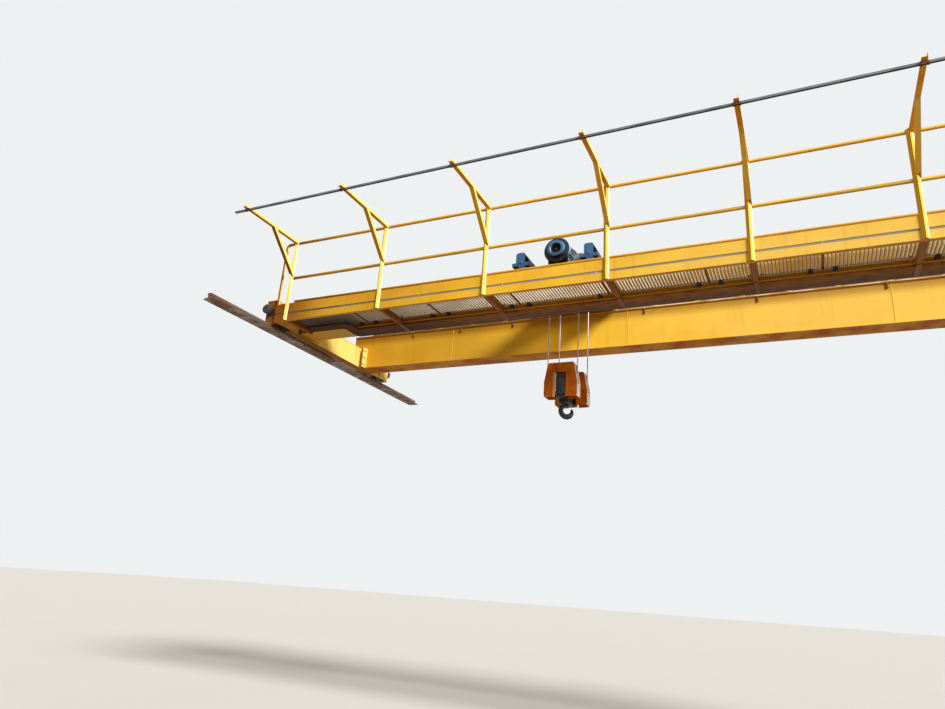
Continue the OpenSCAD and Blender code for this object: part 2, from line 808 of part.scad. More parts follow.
// Bar on two posts that holds the fixed ends of the rope
module rope_anchor() {
    x = block_x - sheave_r;
    far_y = block_y + sheave_gap / 2;
    near_y = block_y - sheave_gap / 2;
    color(dark) on_crab() {
        block([x - 30, near_y - 25, drum_z + seat], [x, far_y + 60, drum_z + 40]);
        for (y = [near_y - 25, far_y + 30]) block([x - 135, y, deck_top], [x - 20, y + 30, drum_z + 20]);
    }
}

// The four falls of the hoist rope, from the drum level down to the block sheaves
module hoist_ropes() {
    color(galvanised) on_block() for (x = [-1, 1], y = [-1, 1])
        translate([x * sheave_r, y * sheave_gap / 2, 0])
            cylinder(r = rope_r, h = drum_z - block_z, $fn = 12);
}

// Sheave cover: a box with rounded corners, open below, with slots for the rope and a walled notch
module sheave_cover() {
    notch_up = 105;
    wall_deep = cover_d / 2 - sheave_half - 6;
    color(rust) rotate([90, 0, 0]) translate([0, 0, -cover_d / 2]) difference() {
        union() {
            difference() {
                linear_extrude(cover_d) cover_outline(0);
                translate([0, 0, cover_t]) linear_extrude(cover_d - 2 * cover_t) cover_outline(cover_t);
                translate([-cover_w / 2 + 40, -cover_h / 2 - lap, cover_t])
                    cube([cover_w - 80, cover_t + 2 * lap, cover_d - 2 * cover_t]);
            }
            for (side = [0, 1]) mirror([side, 0, 0])
                translate([notch_w / 2, -cover_h / 2 + plate_up + yoke_t + 2 * lap, cover_d - wall_deep])
                    cube([cover_t, cover_h / 2 + notch_up - plate_up - yoke_t - 2 * lap, wall_deep - lap]);
        }
        for (side = [0, 1]) mirror([side, 0, 0])
            translate([sheave_r - 30, -cover_h * 0.12, cover_d / 2 - 20]) cube([100, cover_h, 40]);
        translate([-notch_w / 2, -cover_h / 2 - lap, -lap])
            cube([notch_w, cover_h / 2 + lap + notch_up, cover_d + 2 * lap]);
    }
}

module cover_outline(inset) {
    w = cover_w / 2 - inset;
    h = cover_h / 2 - inset;
    top = 90;
    low = 30;
    polygon([[-w, -h + low], [-w + low * 0.3, -h + low * 0.3], [-w + low, -h],
             [w - low, -h], [w - low * 0.3, -h + low * 0.3], [w, -h + low],
             [w, h - top], [w - top * 0.3, h - top * 0.3], [w - top, h],
             [-w + top, h], [-w + top * 0.3, h - top * 0.3], [-w, h - top]]);
}

module sheave_cover_near() {
    on_block() translate([0, -sheave_gap / 2, 0]) sheave_cover();
}

module sheave_cover_far() {
    on_block() mirror([0, 1, 0]) translate([0, -sheave_gap / 2, 0]) sheave_cover();
}

// Grooved sheaves on bushes
module sheaves() {
    groove = sheave_r - rope_r - seat;
    web = 12;
    hub_r = 60;
    color(dark) on_block() for (side = [-1, 1]) translate([0, side * sheave_gap / 2, 0]) rotate([90, 0, 0])
        rotate_extrude() polygon([
            [block_axle_r + seat, -sheave_hub], [hub_r, -sheave_hub], [hub_r, -web],
            [sheave_rim - 36, -web], [sheave_rim - 24, -sheave_half],
            [sheave_rim, -sheave_half + 4], [groove, -5], [groove, 5], [sheave_rim, sheave_half - 4],
            [sheave_rim - 24, sheave_half], [sheave_rim - 36, web],
            [hub_r, web], [hub_r, sheave_hub], [block_axle_r + seat, sheave_hub]
        ]);
}

module block_axle() {
    reach = sheave_gap / 2 + sheave_hub + 2 + cheek_t;
    color(dark) on_block() {
        bar_y(block_axle_r, -reach, reach);
    }
}

// Crosshead: the beam that holds the hook, straps under the sheaves, cheeks for the axle ends and plates
// beside each sheave that the covers sit on
module crosshead() {
    cheek_w = notch_w - 20;
    cheek_top = 60;
    inner = sheave_gap / 2 - cover_d / 2 - 2;
    outer = sheave_gap / 2 + sheave_hub + 2;
    plate_low = -cover_h / 2 + plate_up;
    plate_w = cover_w - 2 * cover_t - 2 * seat;
    plate_clear = sheave_half + 4;
    plate_in = sheave_gap / 2 - cover_d / 2 + cover_t + seat;
    plate_out = sheave_gap / 2 + cover_d / 2 - cover_t - seat;
    strap_top = -sheave_rim - 3;
    color(dark) on_block() difference() {
        union() {
            block([-cheek_w / 2, -inner, yoke_bottom], [cheek_w / 2, inner, yoke_top]);
            block([-60, -75, yoke_bottom], [60, 75, yoke_top + block_up]);
            for (side = [0, 1]) mirror([0, side, 0]) {
                block([-cheek_w / 2, inner - 20, yoke_bottom], [cheek_w / 2, inner, cheek_top]);
                block([-cheek_w / 2, inner - lap, yoke_top], [cheek_w / 2, outer + cheek_t, strap_top]);
                block([-cheek_w / 2 + 10, outer, yoke_top], [cheek_w / 2 - 10, outer + cheek_t, cheek_top]);
                block([-cheek_w / 2, inner - lap, plate_low], [cheek_w / 2, plate_in + lap, plate_low + yoke_t]);
                block([-plate_w / 2, plate_in, plate_low],
                      [plate_w / 2, sheave_gap / 2 - plate_clear, plate_low + yoke_t]);
                block([-plate_w / 2, sheave_gap / 2 + plate_clear, plate_low],
                      [plate_w / 2, plate_out, plate_low + yoke_t]);
            }
        }
        bar_y(block_axle_r + 0.05, -sheave_gap, sheave_gap);
        translate([0, 0, yoke_bottom - lap]) cylinder(r = hook_shank_r + 0.05, h = 200);
    }
}

module hook() {
    neck_z = bowl_z + hook_bowl_r + hook_neck - 20;
    nut_z = yoke_top + block_up + seat;
    color("black") on_block() {
        translate([0, 0, neck_z]) cylinder(r = hook_shank_r, h = nut_z + 44 - neck_z);
        translate([0, 0, nut_z]) cylinder(r = 50, h = 34, $fn = 6);
        translate([0, 0, bowl_z]) rotate([0, 0, hook_turn]) forged_hook();
    }
}

// Thickness of the hook round its bowl, at an angle from under the shank
function hook_size(a) = a < 180 ? 2 * hook_shank_r + (hook_thick - 2 * hook_shank_r) * max(a, 0) / 180 :
    hook_thick - (hook_thick - hook_tip) * pow((a - 180) / (hook_end - 180), 1.6);

// Outer reach of the hook, kept flat below the crosshead
function hook_out(a) = abs(a) < 80 ? min(hook_bowl_r + hook_size(a), (hook_bowl_r + hook_neck - 4) / cos(a)) :
    hook_bowl_r + hook_size(a);

// Curved body of the hook: oval rings from under the shank round the bowl to the tip
module forged_hook() {
    steps = 48;
    sides = 20;
    points = [for (i = [0 : steps]) let (a = hook_start + (hook_end - hook_start) * i / steps, t = hook_size(a),
                                         half = (hook_out(a) - hook_bowl_r) / 2)
        for (j = [0 : sides - 1]) let (b = 360 * j / sides, r = hook_bowl_r + half * (1 + cos(b)))
            [-r * sin(a), t * 0.42 * sin(b) * (1 - 0.15 * cos(b)), r * cos(a)]];
    walls = [for (i = [0 : steps - 1], j = [0 : sides - 1]) let (k = (j + 1) % sides)
        [i * sides + j, (i + 1) * sides + j, (i + 1) * sides + k, i * sides + k]];
    caps = [[for (j = [0 : sides - 1]) j], [for (j = [sides - 1 : -1 : 0]) steps * sides + j]];
    polyhedron(points = points, faces = concat(walls, caps), convexity = 6);
}

rail_left();
rail_right();
end_carriage_left();
end_carriage_right();
travel_wheels_left();
travel_wheels_right();
buffers();
travel_drives();
girder_near();
girder_far();
joint_plates();
nose_plates();
crab_rail_near();
crab_rail_far();
walkway_channel();
cross_members();
walkway_grating();
walkway_end_plates();
toe_board();
handrail_posts();
outrigger_arms();
top_rail();
middle_rail();
festoon_rail();
cable_tray();
tray_hangers();
crab_beam_left();
crab_beam_right();
crab_deck();
crab_wheels();
crab_drive();
hoist_motor();
terminal_box();
hoist_gearbox();
rope_drum();
drum_bearing();
rope_anchor();
hoist_ropes();
sheave_cover_near();
sheave_cover_far();
sheaves();
block_axle();
crosshead();
hook();
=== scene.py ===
import json
import math
import random

import bmesh
import bpy
from mathutils import Matrix, Vector


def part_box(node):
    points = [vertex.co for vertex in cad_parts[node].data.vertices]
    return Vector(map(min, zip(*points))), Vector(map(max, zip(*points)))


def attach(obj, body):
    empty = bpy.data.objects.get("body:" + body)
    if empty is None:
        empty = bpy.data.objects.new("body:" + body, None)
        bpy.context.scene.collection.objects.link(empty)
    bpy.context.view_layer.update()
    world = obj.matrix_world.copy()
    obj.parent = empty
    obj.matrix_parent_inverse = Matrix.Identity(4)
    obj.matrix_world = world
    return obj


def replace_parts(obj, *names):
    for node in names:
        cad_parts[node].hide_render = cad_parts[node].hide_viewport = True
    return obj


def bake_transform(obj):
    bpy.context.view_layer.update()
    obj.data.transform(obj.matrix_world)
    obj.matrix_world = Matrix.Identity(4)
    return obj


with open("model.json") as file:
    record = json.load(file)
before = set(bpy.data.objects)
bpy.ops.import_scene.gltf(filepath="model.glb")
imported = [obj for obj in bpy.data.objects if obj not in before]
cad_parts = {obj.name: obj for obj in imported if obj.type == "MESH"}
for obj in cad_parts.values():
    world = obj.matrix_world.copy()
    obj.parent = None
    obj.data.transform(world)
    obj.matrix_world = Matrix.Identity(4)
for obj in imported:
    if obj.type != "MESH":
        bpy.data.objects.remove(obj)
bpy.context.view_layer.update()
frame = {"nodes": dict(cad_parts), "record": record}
nodes = frame["nodes"]

PHOTO_WIDTH = 945
LENS_PIXELS = 697
SENSOR = 36
FLOOR_Z = -5.45
# Sizes of the crane, in metres, as the solids have them
SPAN = 13.6
GAUGE = 1.764
GIRDER_W = 0.290
GIRDER_START = 0.180
GIRDER_BOTTOM, GIRDER_TOP = 0.120, 0.715
CARRIAGE_W = 0.180
WALK_START, BAY, BAYS = 0.367, 1.6035, 8
CRAB_GAUGE = 1.524
WALK_OUT, WALK_IN = 1.680, 1.0533
CHANNEL_BOTTOM, CHANNEL_TOP = 0.080, 0.180
POST_BACK = -1.686
TOP_RAIL_Z, MID_RAIL_Z, TUBE_R = 1.345, 0.761, 0.021
ARM_Y = -2.845
FESTOON_Y, FESTOON_W = ARM_Y + 0.070, 0.026
AXLE_Y, AXLE_Z = 1.35, 0.2103
CRAB_BEAM_X, CRAB_BEAM_W = 0.486, 0.130
CRAB_X = 4.257
BLOCK = Vector((4.215, -0.110, -0.705))
SHEAVE_R, SHEAVE_GAP, ROPE_R = 0.213, 0.470, 0.008
DRUM_Z = 1.050
MOTOR = Vector((4.245, -0.880, 1.050))
TRAY_SEAM = -0.895
GROOVE_PITCH = SHEAVE_GAP / 30
X, Y, Z = Vector((1, 0, 0)), Vector((0, 1, 0)), Vector((0, 0, 1))


def srgb(red, green, blue):
    """Linear colour of a screen colour from 0 to 255."""
    return tuple(c / 12.92 if c <= 0.04045 else ((c + 0.055) / 1.055) ** 2.4
                 for c in (red / 255, green / 255, blue / 255)) + (1,)


YELLOW = srgb(250, 200, 62), srgb(236, 180, 44), srgb(126, 84, 46)
SUN_YELLOW = srgb(255, 226, 132)
BLUE = srgb(70, 114, 158), srgb(48, 88, 130), srgb(140, 130, 120)
# Painted highlight of the blue paint on faces towards the roof lights, and of the lit rims along the crab's beams.
PALE_BLUE = srgb(188, 208, 230)
# Colour of the painted shade on undersides, which also carries their grime.
UNDERSIDE_SHADE_AND_GRIME = srgb(190, 104, 34)
# Colour of the painted shade on walls: towards the left end, and on the far girder's web below its flange.
PAINTED_SHADE_BROWN = srgb(130, 88, 40)


class Wire:
    """A shader socket that can be used in plain sums."""

    def __init__(self, finish, socket):
        self.finish = finish
        self.socket = socket

    def sum(self, operation, other, flipped=False):
        first, second = (other, self) if flipped else (self, other)
        return self.finish.node("ShaderNodeMath", {"operation": operation}, {0: first, 1: second})

    def __add__(self, other):
        return self.sum("ADD", other)

    def __radd__(self, other):
        return self.sum("ADD", other, True)

    def __sub__(self, other):
        return self.sum("SUBTRACT", other)

    def __rsub__(self, other):
        return self.sum("SUBTRACT", other, True)

    def __mul__(self, other):
        return self.sum("MULTIPLY", other)

    def __rmul__(self, other):
        return self.sum("MULTIPLY", other, True)

    def __truediv__(self, other):
        return self.sum("DIVIDE", other)

    def __pow__(self, other):
        return self.sum("POWER", other)

    def __gt__(self, other):
        return self.sum("GREATER_THAN", other)

    def __lt__(self, other):
        return self.sum("LESS_THAN", other)

    def clip(self):
        return self.finish.node("ShaderNodeClamp", {}, {0: self})

    def fraction(self):
        return self.finish.node("ShaderNodeMath", {"operation": "FRACT"}, {0: self})

    def step(self, low, high):
        """0 below low, 1 above high, smooth between them."""
        return self.finish.node("ShaderNodeMapRange", {"interpolation_type": "SMOOTHSTEP"},
                                {"Value": self, "From Min": low, "From Max": high})


class Finish:
    """One material, and the nodes that make it."""

    def __init__(self, name):
        self.material = bpy.data.materials.new(name)
        self.material.use_nodes = True
        self.tree = self.material.node_tree
        self.tree.nodes.clear()
        self.place = self.node("ShaderNodeTexCoord", out="Object")
        geometry = self.node("ShaderNodeNewGeometry", out="Normal")
        self.normal = geometry
        self.up = self.node("ShaderNodeSeparateXYZ", {}, {0: geometry}, out="Z")

    def node(self, kind, settings=None, values=None, out=0):
        made = self.tree.nodes.new(kind)
        for name, setting in (settings or {}).items():
            if name == "stops":
                ramp = made.color_ramp
                while len(ramp.elements) < len(setting):
                    ramp.elements.new(0.5)
                for element, (position, colour) in zip(ramp.elements, setting):
                    element.position = position
                    element.color = colour
            else:
                setattr(made, name, setting)
        for name, value in (values or {}).items():
            if isinstance(value, Wire):
                self.tree.links.new(value.socket, made.inputs[name])
            else:
                made.inputs[name].default_value = value
        return Wire(self, made.outputs[out])

    def stretched(self, along):
        return self.node("ShaderNodeVectorMath", {"operation": "MULTIPLY"}, {0: self.place, 1: along})

    def noise(self, scale, detail=3.0, along=(1, 1, 1), roughness=0.55):
        return self.node("ShaderNodeTexNoise", {"normalize": True},
                         {"Vector": self.stretched(along), "Scale": scale, "Detail": detail,
                          "Roughness": roughness}, out="Fac")

    def mix(self, amount, low, high, how="MIX"):
        return self.node("ShaderNodeMix", {"data_type": "RGBA", "blend_type": how},
                         {0: amount, 6: low, 7: high}, out=2)

    def axis(self, letter):
        return self.node("ShaderNodeSeparateXYZ", {}, {0: self.place}, out=letter)

    def facing(self, letter):
        """How much the surface faces along an axis, from -1 to 1."""
        return self.node("ShaderNodeSeparateXYZ", {}, {0: self.normal}, out=letter)

    def edge(self, radius):
        """1 on an outer edge of the piece, 0 on its flat faces."""
        rounded = self.node("ShaderNodeBevel", {"samples": 4}, {"Radius": radius})
        same = self.node("ShaderNodeVectorMath", {"operation": "DOT_PRODUCT"},
                         {0: rounded, 1: self.normal}, out="Value")
        return (1.0 - same).step(0.02, 0.25)

    def surface(self, colour, roughness, metallic=0.0, bump=None, strength=0.3, depth=0.001, shine=0.5):
        values = {"Base Color": colour, "Roughness": roughness, "Metallic": metallic, "Specular IOR Level": shine}
        if bump is not None:
            values["Normal"] = self.node("ShaderNodeBump", {},
                                         {"Strength": strength, "Distance": depth, "Height": bump})
        shader = self.node("ShaderNodeBsdfPrincipled", {}, values)
        self.node_output(shader)
        return self.material

    def node_output(self, shader):
        end = self.tree.nodes.new("ShaderNodeOutputMaterial")
        self.tree.links.new(shader.socket, end.inputs[0])


def painted_steel(name, colour, deep, dust, chips=0.5, gloss=0.42, under_shade_and_grime=0.55, streaks=0.3, sunlit_tint=None,
                  sunlit_from=0.6, sunlit_right=None, low_shade_and_dirt=None, lit_rim_height=None, dark_below=0.0, dark_shade=None,
                  ends=None, shine=0.28, metal=(0.12, 0.047, 0.021, 1)):
    """Workshop paint with faded patches, runs of dirt, dusty tops and chipped edges, and with painted light and shade.

    The first optional colour is a painted highlight, the side towards the roof lights painted paler: on faces that
    look along X by more than the given share, and on the posts only further right of each post's middle than the
    given distance. Undersides get painted shade mixed with patchy grime, and can be painted darker still, towards
    black, as shade. One height can be given below which the walls get painted shade and dirt, and another above
    which their top edge is painted as a pale sunlit rim right of x 4.5 to 4.9 and as a dark shaded rim left of it,
    with painted shadow on the upper wall below it. A function can pick further places that are painted near black
    as shade. Two strengths can be given of painted shade on the walls that face out over the walkway: on the left
    quarter of the bridge, and next to the left carriage; those walls are then also painted paler towards the right,
    a painted highlight."""
    f = Finish(name)
    patches = f.noise(0.9, 4.0)
    cloudy = f.noise(3.2, 5.0)
    runs = f.noise(1.0, 5.0, along=(13, 13, 0.8)).step(0.52, 0.78)
    side = (1.0 - f.up * f.up).clip()
    shade = f.mix(patches.step(0.38, 0.7), colour, deep)
    shade = f.mix(cloudy.step(0.45, 0.7) * 0.18, shade, deep)
    # Painted highlight: faces towards the roof lights are painted paler in the given colour.
    if sunlit_tint:
        lit = f.facing("X").step(sunlit_from, sunlit_from + 0.3)
        if sunlit_right:
            local = (((f.axis("X") - WALK_START) * (1 / BAY) + 0.5).fraction() - 0.5) * BAY
            lit = lit * local.step(sunlit_right, sunlit_right + 0.008)
        shade = f.mix((lit * (0.6 + 0.5 * cloudy)).clip(), shade, sunlit_tint)
    # Painted shade towards the left end of the walls that face out over the walkway, then a painted highlight that
    # makes them paler towards the right.
    if ends:
        along, front = f.axis("X"), (0.0 - f.facing("Y")).step(0.3, 0.8)
        left_shade_amount = (1.0 - along.step(2.0, 3.6)) * ends[0] + (1.0 - along.step(0.2, 1.4)) * ends[1]
        shade = f.mix((left_shade_amount * front).clip(), shade, PAINTED_SHADE_BROWN, "MULTIPLY")
        shade = f.mix(along.step(4.0, 7.5) * front * 0.35, shade, SUN_YELLOW)
    shade = f.mix((runs * side * streaks).clip(), shade, dust, "MULTIPLY")
    top = (f.up.step(0.5, 0.95) * (0.35 + f.noise(5.0, 5.0).step(0.3, 0.7))).clip()
    shade = f.mix(top * 0.6, shade, dust)
    # Undersides: painted shade, mixed with patchy grime.
    below = (0.0 - f.up).step(0.5, 0.95) * (0.4 + 0.6 * f.noise(2.6, 5.0).step(0.35, 0.7)) * under_shade_and_grime
    shade = f.mix(below, shade, UNDERSIDE_SHADE_AND_GRIME, "MULTIPLY")
    # Painted shade: undersides painted darker, towards near black.
    if dark_below:
        shade = f.mix((0.0 - f.up).step(-0.2, 0.7) * dark_below, shade, srgb(26, 24, 28))
    # Painted shadow on the upper wall below the flange; the top edge is painted as a pale sunlit rim on the right and
    # as a dark brown shaded rim on the left.
    if lit_rim_height:
        rim = f.axis("Z").step(lit_rim_height, lit_rim_height + 0.002) * side
        upper = f.axis("Z").step(0.50, 0.66) * side
        shade = f.mix((upper * 0.6 - rim).clip(), shade, PAINTED_SHADE_BROWN, "MULTIPLY")
        sunny = f.axis("X").step(4.5, 4.9)
        rim_colour = f.mix(sunny * (0.35 + 0.65 * f.noise(3.0, 4.0).step(0.4, 0.6)), srgb(110, 72, 32),
                           srgb(255, 228, 190))
        shade = f.mix(rim * 0.9, shade, rim_colour)
    # Painted shade: the places the given function picks, painted near black.
    if dark_shade:
        shade = f.mix(dark_shade(f).clip(), shade, srgb(24, 22, 26))
    # Painted shade and dirt on the walls below the given height.
    if low_shade_and_dirt:
        low = (1.0 - (f.axis("Z") + (cloudy - 0.5) * 0.08).step(low_shade_and_dirt - 0.03, low_shade_and_dirt + 0.02)) * side
        shade = f.mix(low * 0.75, shade, dust, "MULTIPLY")
    spots = f.noise(9.0, 6.0, roughness=0.7)
    worn = ((f.edge(0.005) * 0.7 + spots.step(0.76, 0.82)) * spots.step(0.46, 0.62) * chips).clip()
    shade = f.mix(worn, shade, metal)
    roughness = gloss + 0.22 * patches + 0.3 * top + 0.2 * worn
    return f.surface(shade, roughness, bump=f.noise(42.0, 4.0) * 0.35 - worn * 0.6 + f.noise(6.0, 2.0) * 0.5,
                     strength=0.25, depth=0.0012, shine=shine)


def motor_shade(f):
    """Painted shade on the lower half of the motor, and in the recess behind its air ring."""
    recess = (0.0 - f.facing("Y")).step(0.5, 0.9) * f.axis("Y").step(MOTOR.y + 0.034, MOTOR.y + 0.040)
    lower = 1.0 - f.axis("Z").step(MOTOR.z - 0.155, MOTOR.z - 0.060)
    return recess * 0.8 + lower * 0.85


def hood_shade(f):
    """Painted shade on the sides of the crab's end beams that face along X, near the walkway, under an unshaded strip
    at the top.
    """
    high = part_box("crab_beam_left")[1]
    near = 1.0 - f.axis("Y").step(-0.62, -0.50)
    under = 1.0 - f.axis("Z").step(high.z - 0.016, high.z - 0.012)
    return f.facing("X").step(0.5, 0.9) * near * under * 0.95


def bare_steel(name, colour, rust, amount=0.5, metallic=0.85, rough=0.42, top_polish=0.0):
    """Rolled or cast steel with rust in the hollows, and a bright running face on top if asked."""
    f = Finish(name)
    scale = f.noise(7.0, 6.0, roughness=0.65)
    patches = f.noise(1.3, 4.0)
    mask = ((scale * 0.6 + patches * 0.5).step(0.62 - 0.3 * amount, 0.82 - 0.2 * amount))
    if top_polish:
        mask = (mask * (1.0 - f.up.step(0.8, 0.98) * top_polish)).clip()
    shade = f.mix(mask, colour, rust)
    shade = f.mix(f.noise(60.0, 3.0).step(0.3, 0.8) * 0.35, shade, srgb(30, 26, 24))
    return f.surface(shade, rough + 0.35 * mask, metallic=metallic * (1.0 - mask),
                     bump=scale + f.noise(55.0, 2.0) * 0.4, strength=0.35, depth=0.0012)


def zinc_bars(name):
    """Hot-dipped grating bars: pale spangled zinc, with painted shade on the undersides and towards the left end."""
    f = Finish(name)
    spangle = f.node("ShaderNodeTexVoronoi", {}, {"Vector": f.place, "Scale": 120.0}, out="Color")
    speck = f.node("ShaderNodeSeparateXYZ", {}, {0: spangle}, out="X")
    dull = f.noise(1.7, 5.0)
    shade = f.mix(speck * 0.4, srgb(250, 248, 240), srgb(232, 230, 220))
    shade = f.mix(dull.step(0.45, 0.75) * 0.4, shade, srgb(206, 192, 164))
    # Painted shade on the undersides of the bars.
    shade = f.mix((0.0 - f.up).step(0.5, 0.95) * 0.85, shade, srgb(150, 128, 96))
    outer = (0.0 - f.facing("Y")).step(0.5, 0.9)
    shade = f.mix(outer * (0.75 + 0.25 * dull), shade, srgb(126, 118, 104))
    along = f.axis("X")
    # Painted shade towards the left end; left of x 1.3 the bars are darker and bluer still.
    shade = f.mix((1.0 - along.step(1.0, 4.6)) * 0.62, shade, srgb(150, 130, 104), "MULTIPLY")
    shade = f.mix((1.0 - along.step(1.28, 1.34)) * 0.6, shade, srgb(116, 120, 136), "MULTIPLY")
    return f.surface(shade, 0.55 + 0.25 * dull, bump=speck, strength=0.12, depth=0.0006)


def galvanised_section(name):
    """Dull blue-grey rolled zinc with white rust, with painted shade below."""
    f = Finish(name)
    cloudy = f.noise(4.0, 5.0)
    shade = f.mix(cloudy.step(0.35, 0.7), srgb(120, 124, 132), srgb(92, 94, 102))
    shade = f.mix(f.noise(30.0, 4.0).step(0.6, 0.8) * 0.5, shade, srgb(168, 170, 172))
    # Painted shade on the undersides.
    shade = f.mix((0.0 - f.up).step(0.4, 0.9) * 0.8, shade, srgb(44, 42, 46))
    return f.surface(shade, 0.48 + 0.2 * cloudy, metallic=0.3, bump=cloudy, strength=0.15, depth=0.0006)


def tray_plate(name):
    """Dark dirty tray: two bands of matted dust and oil along its length, and painted shade towards its left end."""
    f = Finish(name)
    matted = f.noise(14.0, 6.0, along=(0.35, 1.6, 1.0), roughness=0.7)
    cloudy = f.noise(1.6, 4.0)
    shade = f.mix(matted.step(0.35, 0.7), srgb(166, 110, 60), srgb(104, 74, 54))
    shade = f.mix(cloudy.step(0.5, 0.8) * 0.5, shade, srgb(172, 120, 70))
    inner = f.axis("Y").step(TRAY_SEAM - 0.004, TRAY_SEAM + 0.004)
    shade = f.mix(inner * 0.75, shade, f.mix(matted.step(0.4, 0.7), srgb(120, 100, 88), srgb(84, 72, 70)))
    shade = f.mix(f.noise(26.0, 5.0).step(0.66, 0.76) * 0.4, shade, srgb(170, 126, 84))
    # Painted shade towards the left end, darker still left of x 1.4.
    shade = f.mix((1.0 - f.axis("X").step(2.0, 3.4)) * 0.7, shade, srgb(110, 84, 72), "MULTIPLY")
    shade = f.mix((1.0 - f.axis("X").step(0.9, 1.4)) * 0.7, shade, srgb(120, 106, 106), "MULTIPLY")
    return f.surface(shade, 0.8, bump=matted, strength=0.4, depth=0.002, shine=0.2)


def rubber(name):
    f = Finish(name)
    dust = f.noise(8.0, 5.0)
    shade = f.mix(dust.step(0.4, 0.75) * 0.6, srgb(40, 36, 40), srgb(92, 84, 80))
    return f.surface(shade, 0.72 + 0.15 * dust, bump=f.noise(90.0, 3.0), strength=0.3, depth=0.0008)


def forged_black(name):
    """Black forge scale, worn bright where slings and hands rub."""
    f = Finish(name)
    scale = f.noise(22.0, 6.0, roughness=0.7)
    rub = f.noise(6.0, 3.0)
    mask = (rub.step(0.56, 0.74) * 0.4 + f.edge(0.008) * 0.35).clip()
    shade = f.mix(mask, srgb(24, 24, 29), srgb(96, 96, 106))
    return f.surface(shade, 0.42 - 0.14 * mask, metallic=0.4 * mask + 0.2, bump=scale, strength=0.3, depth=0.0012)


def cover_paint(name):
    """Rusty orange paint of the sheave covers, with a painted highlight in a strip left of the notch and painted shade
    below; their narrow sides are pale.
    """
    f = Finish(name)
    blotch = f.noise(5.0, 6.0, roughness=0.65)
    fine = f.noise(24.0, 5.0)
    shade = f.mix(blotch.step(0.36, 0.66), srgb(240, 132, 6), srgb(204, 98, 2))
    shade = f.mix(fine.step(0.56, 0.74) * 0.5, shade, srgb(250, 160, 22))
    shade = f.mix(f.noise(3.4, 5.0, along=(1, 1, 0.6)).step(0.5, 0.7) * 0.5, shade, srgb(118, 50, 4))
    across = f.axis("X")
    # Painted highlight: a strip left of the notch, in the lower part of the faces towards -Y.
    lit_strip = across.step(BLOCK.x - 0.112, BLOCK.x - 0.104) * (1.0 - across.step(BLOCK.x - 0.078, BLOCK.x - 0.074))
    lit_strip = lit_strip * (0.0 - f.facing("Y")).step(0.5, 0.9)
    lit_strip = lit_strip * (1.0 - f.axis("Z").step(BLOCK.z + 0.09, BLOCK.z + 0.11))
    shade = f.mix(lit_strip * (0.6 + 0.4 * blotch), shade, srgb(250, 176, 100))
    sides = (f.facing("X") * f.facing("X")).step(0.6, 0.9)
    pale_side = f.mix(fine.step(0.4, 0.7) * 0.5, srgb(255, 250, 246), srgb(228, 214, 204))
    shade = f.mix(sides * (0.8 + 0.2 * blotch.step(0.3, 0.5)), shade, pale_side)
    # Painted shade on the undersides.
    shade = f.mix((0.0 - f.up).step(0.5, 0.95) * 0.8, shade, srgb(70, 34, 14))
    return f.surface(shade, 0.6 + 0.15 * blotch, bump=fine + blotch, strength=0.3, depth=0.0012, shine=0.25)


def make_finishes():
    return {
        "yellow_paint": painted_steel("worn_yellow_paint", *YELLOW, sunlit_tint=SUN_YELLOW, streaks=0.2, ends=(0.35, 0.6),
                                      shine=0.16),
        "blue_paint": painted_steel("dusty_blue_paint", *BLUE, chips=0.5, gloss=0.36, sunlit_tint=PALE_BLUE,
                                    dark_below=0.9),
        "orange_paint": cover_paint("rusty_orange_paint"),
        "galvanised": zinc_bars("zinc_bars"),
        "grey_plate": tray_plate("dirty_grey_plate"),
        "rail_steel": bare_steel("rail_steel", srgb(150, 146, 142), srgb(112, 66, 40), 0.75, top_polish=0.9),
        "wheel_steel": bare_steel("greasy_steel", srgb(92, 90, 90), srgb(66, 48, 38), 0.45),
        "rope_wire": bare_steel("oiled_wire", srgb(226, 214, 220), srgb(150, 124, 112), 0.12, metallic=0.25),
        "black_rubber": rubber("dusty_rubber"),
        "black_steel": forged_black("forged_black"),
    }


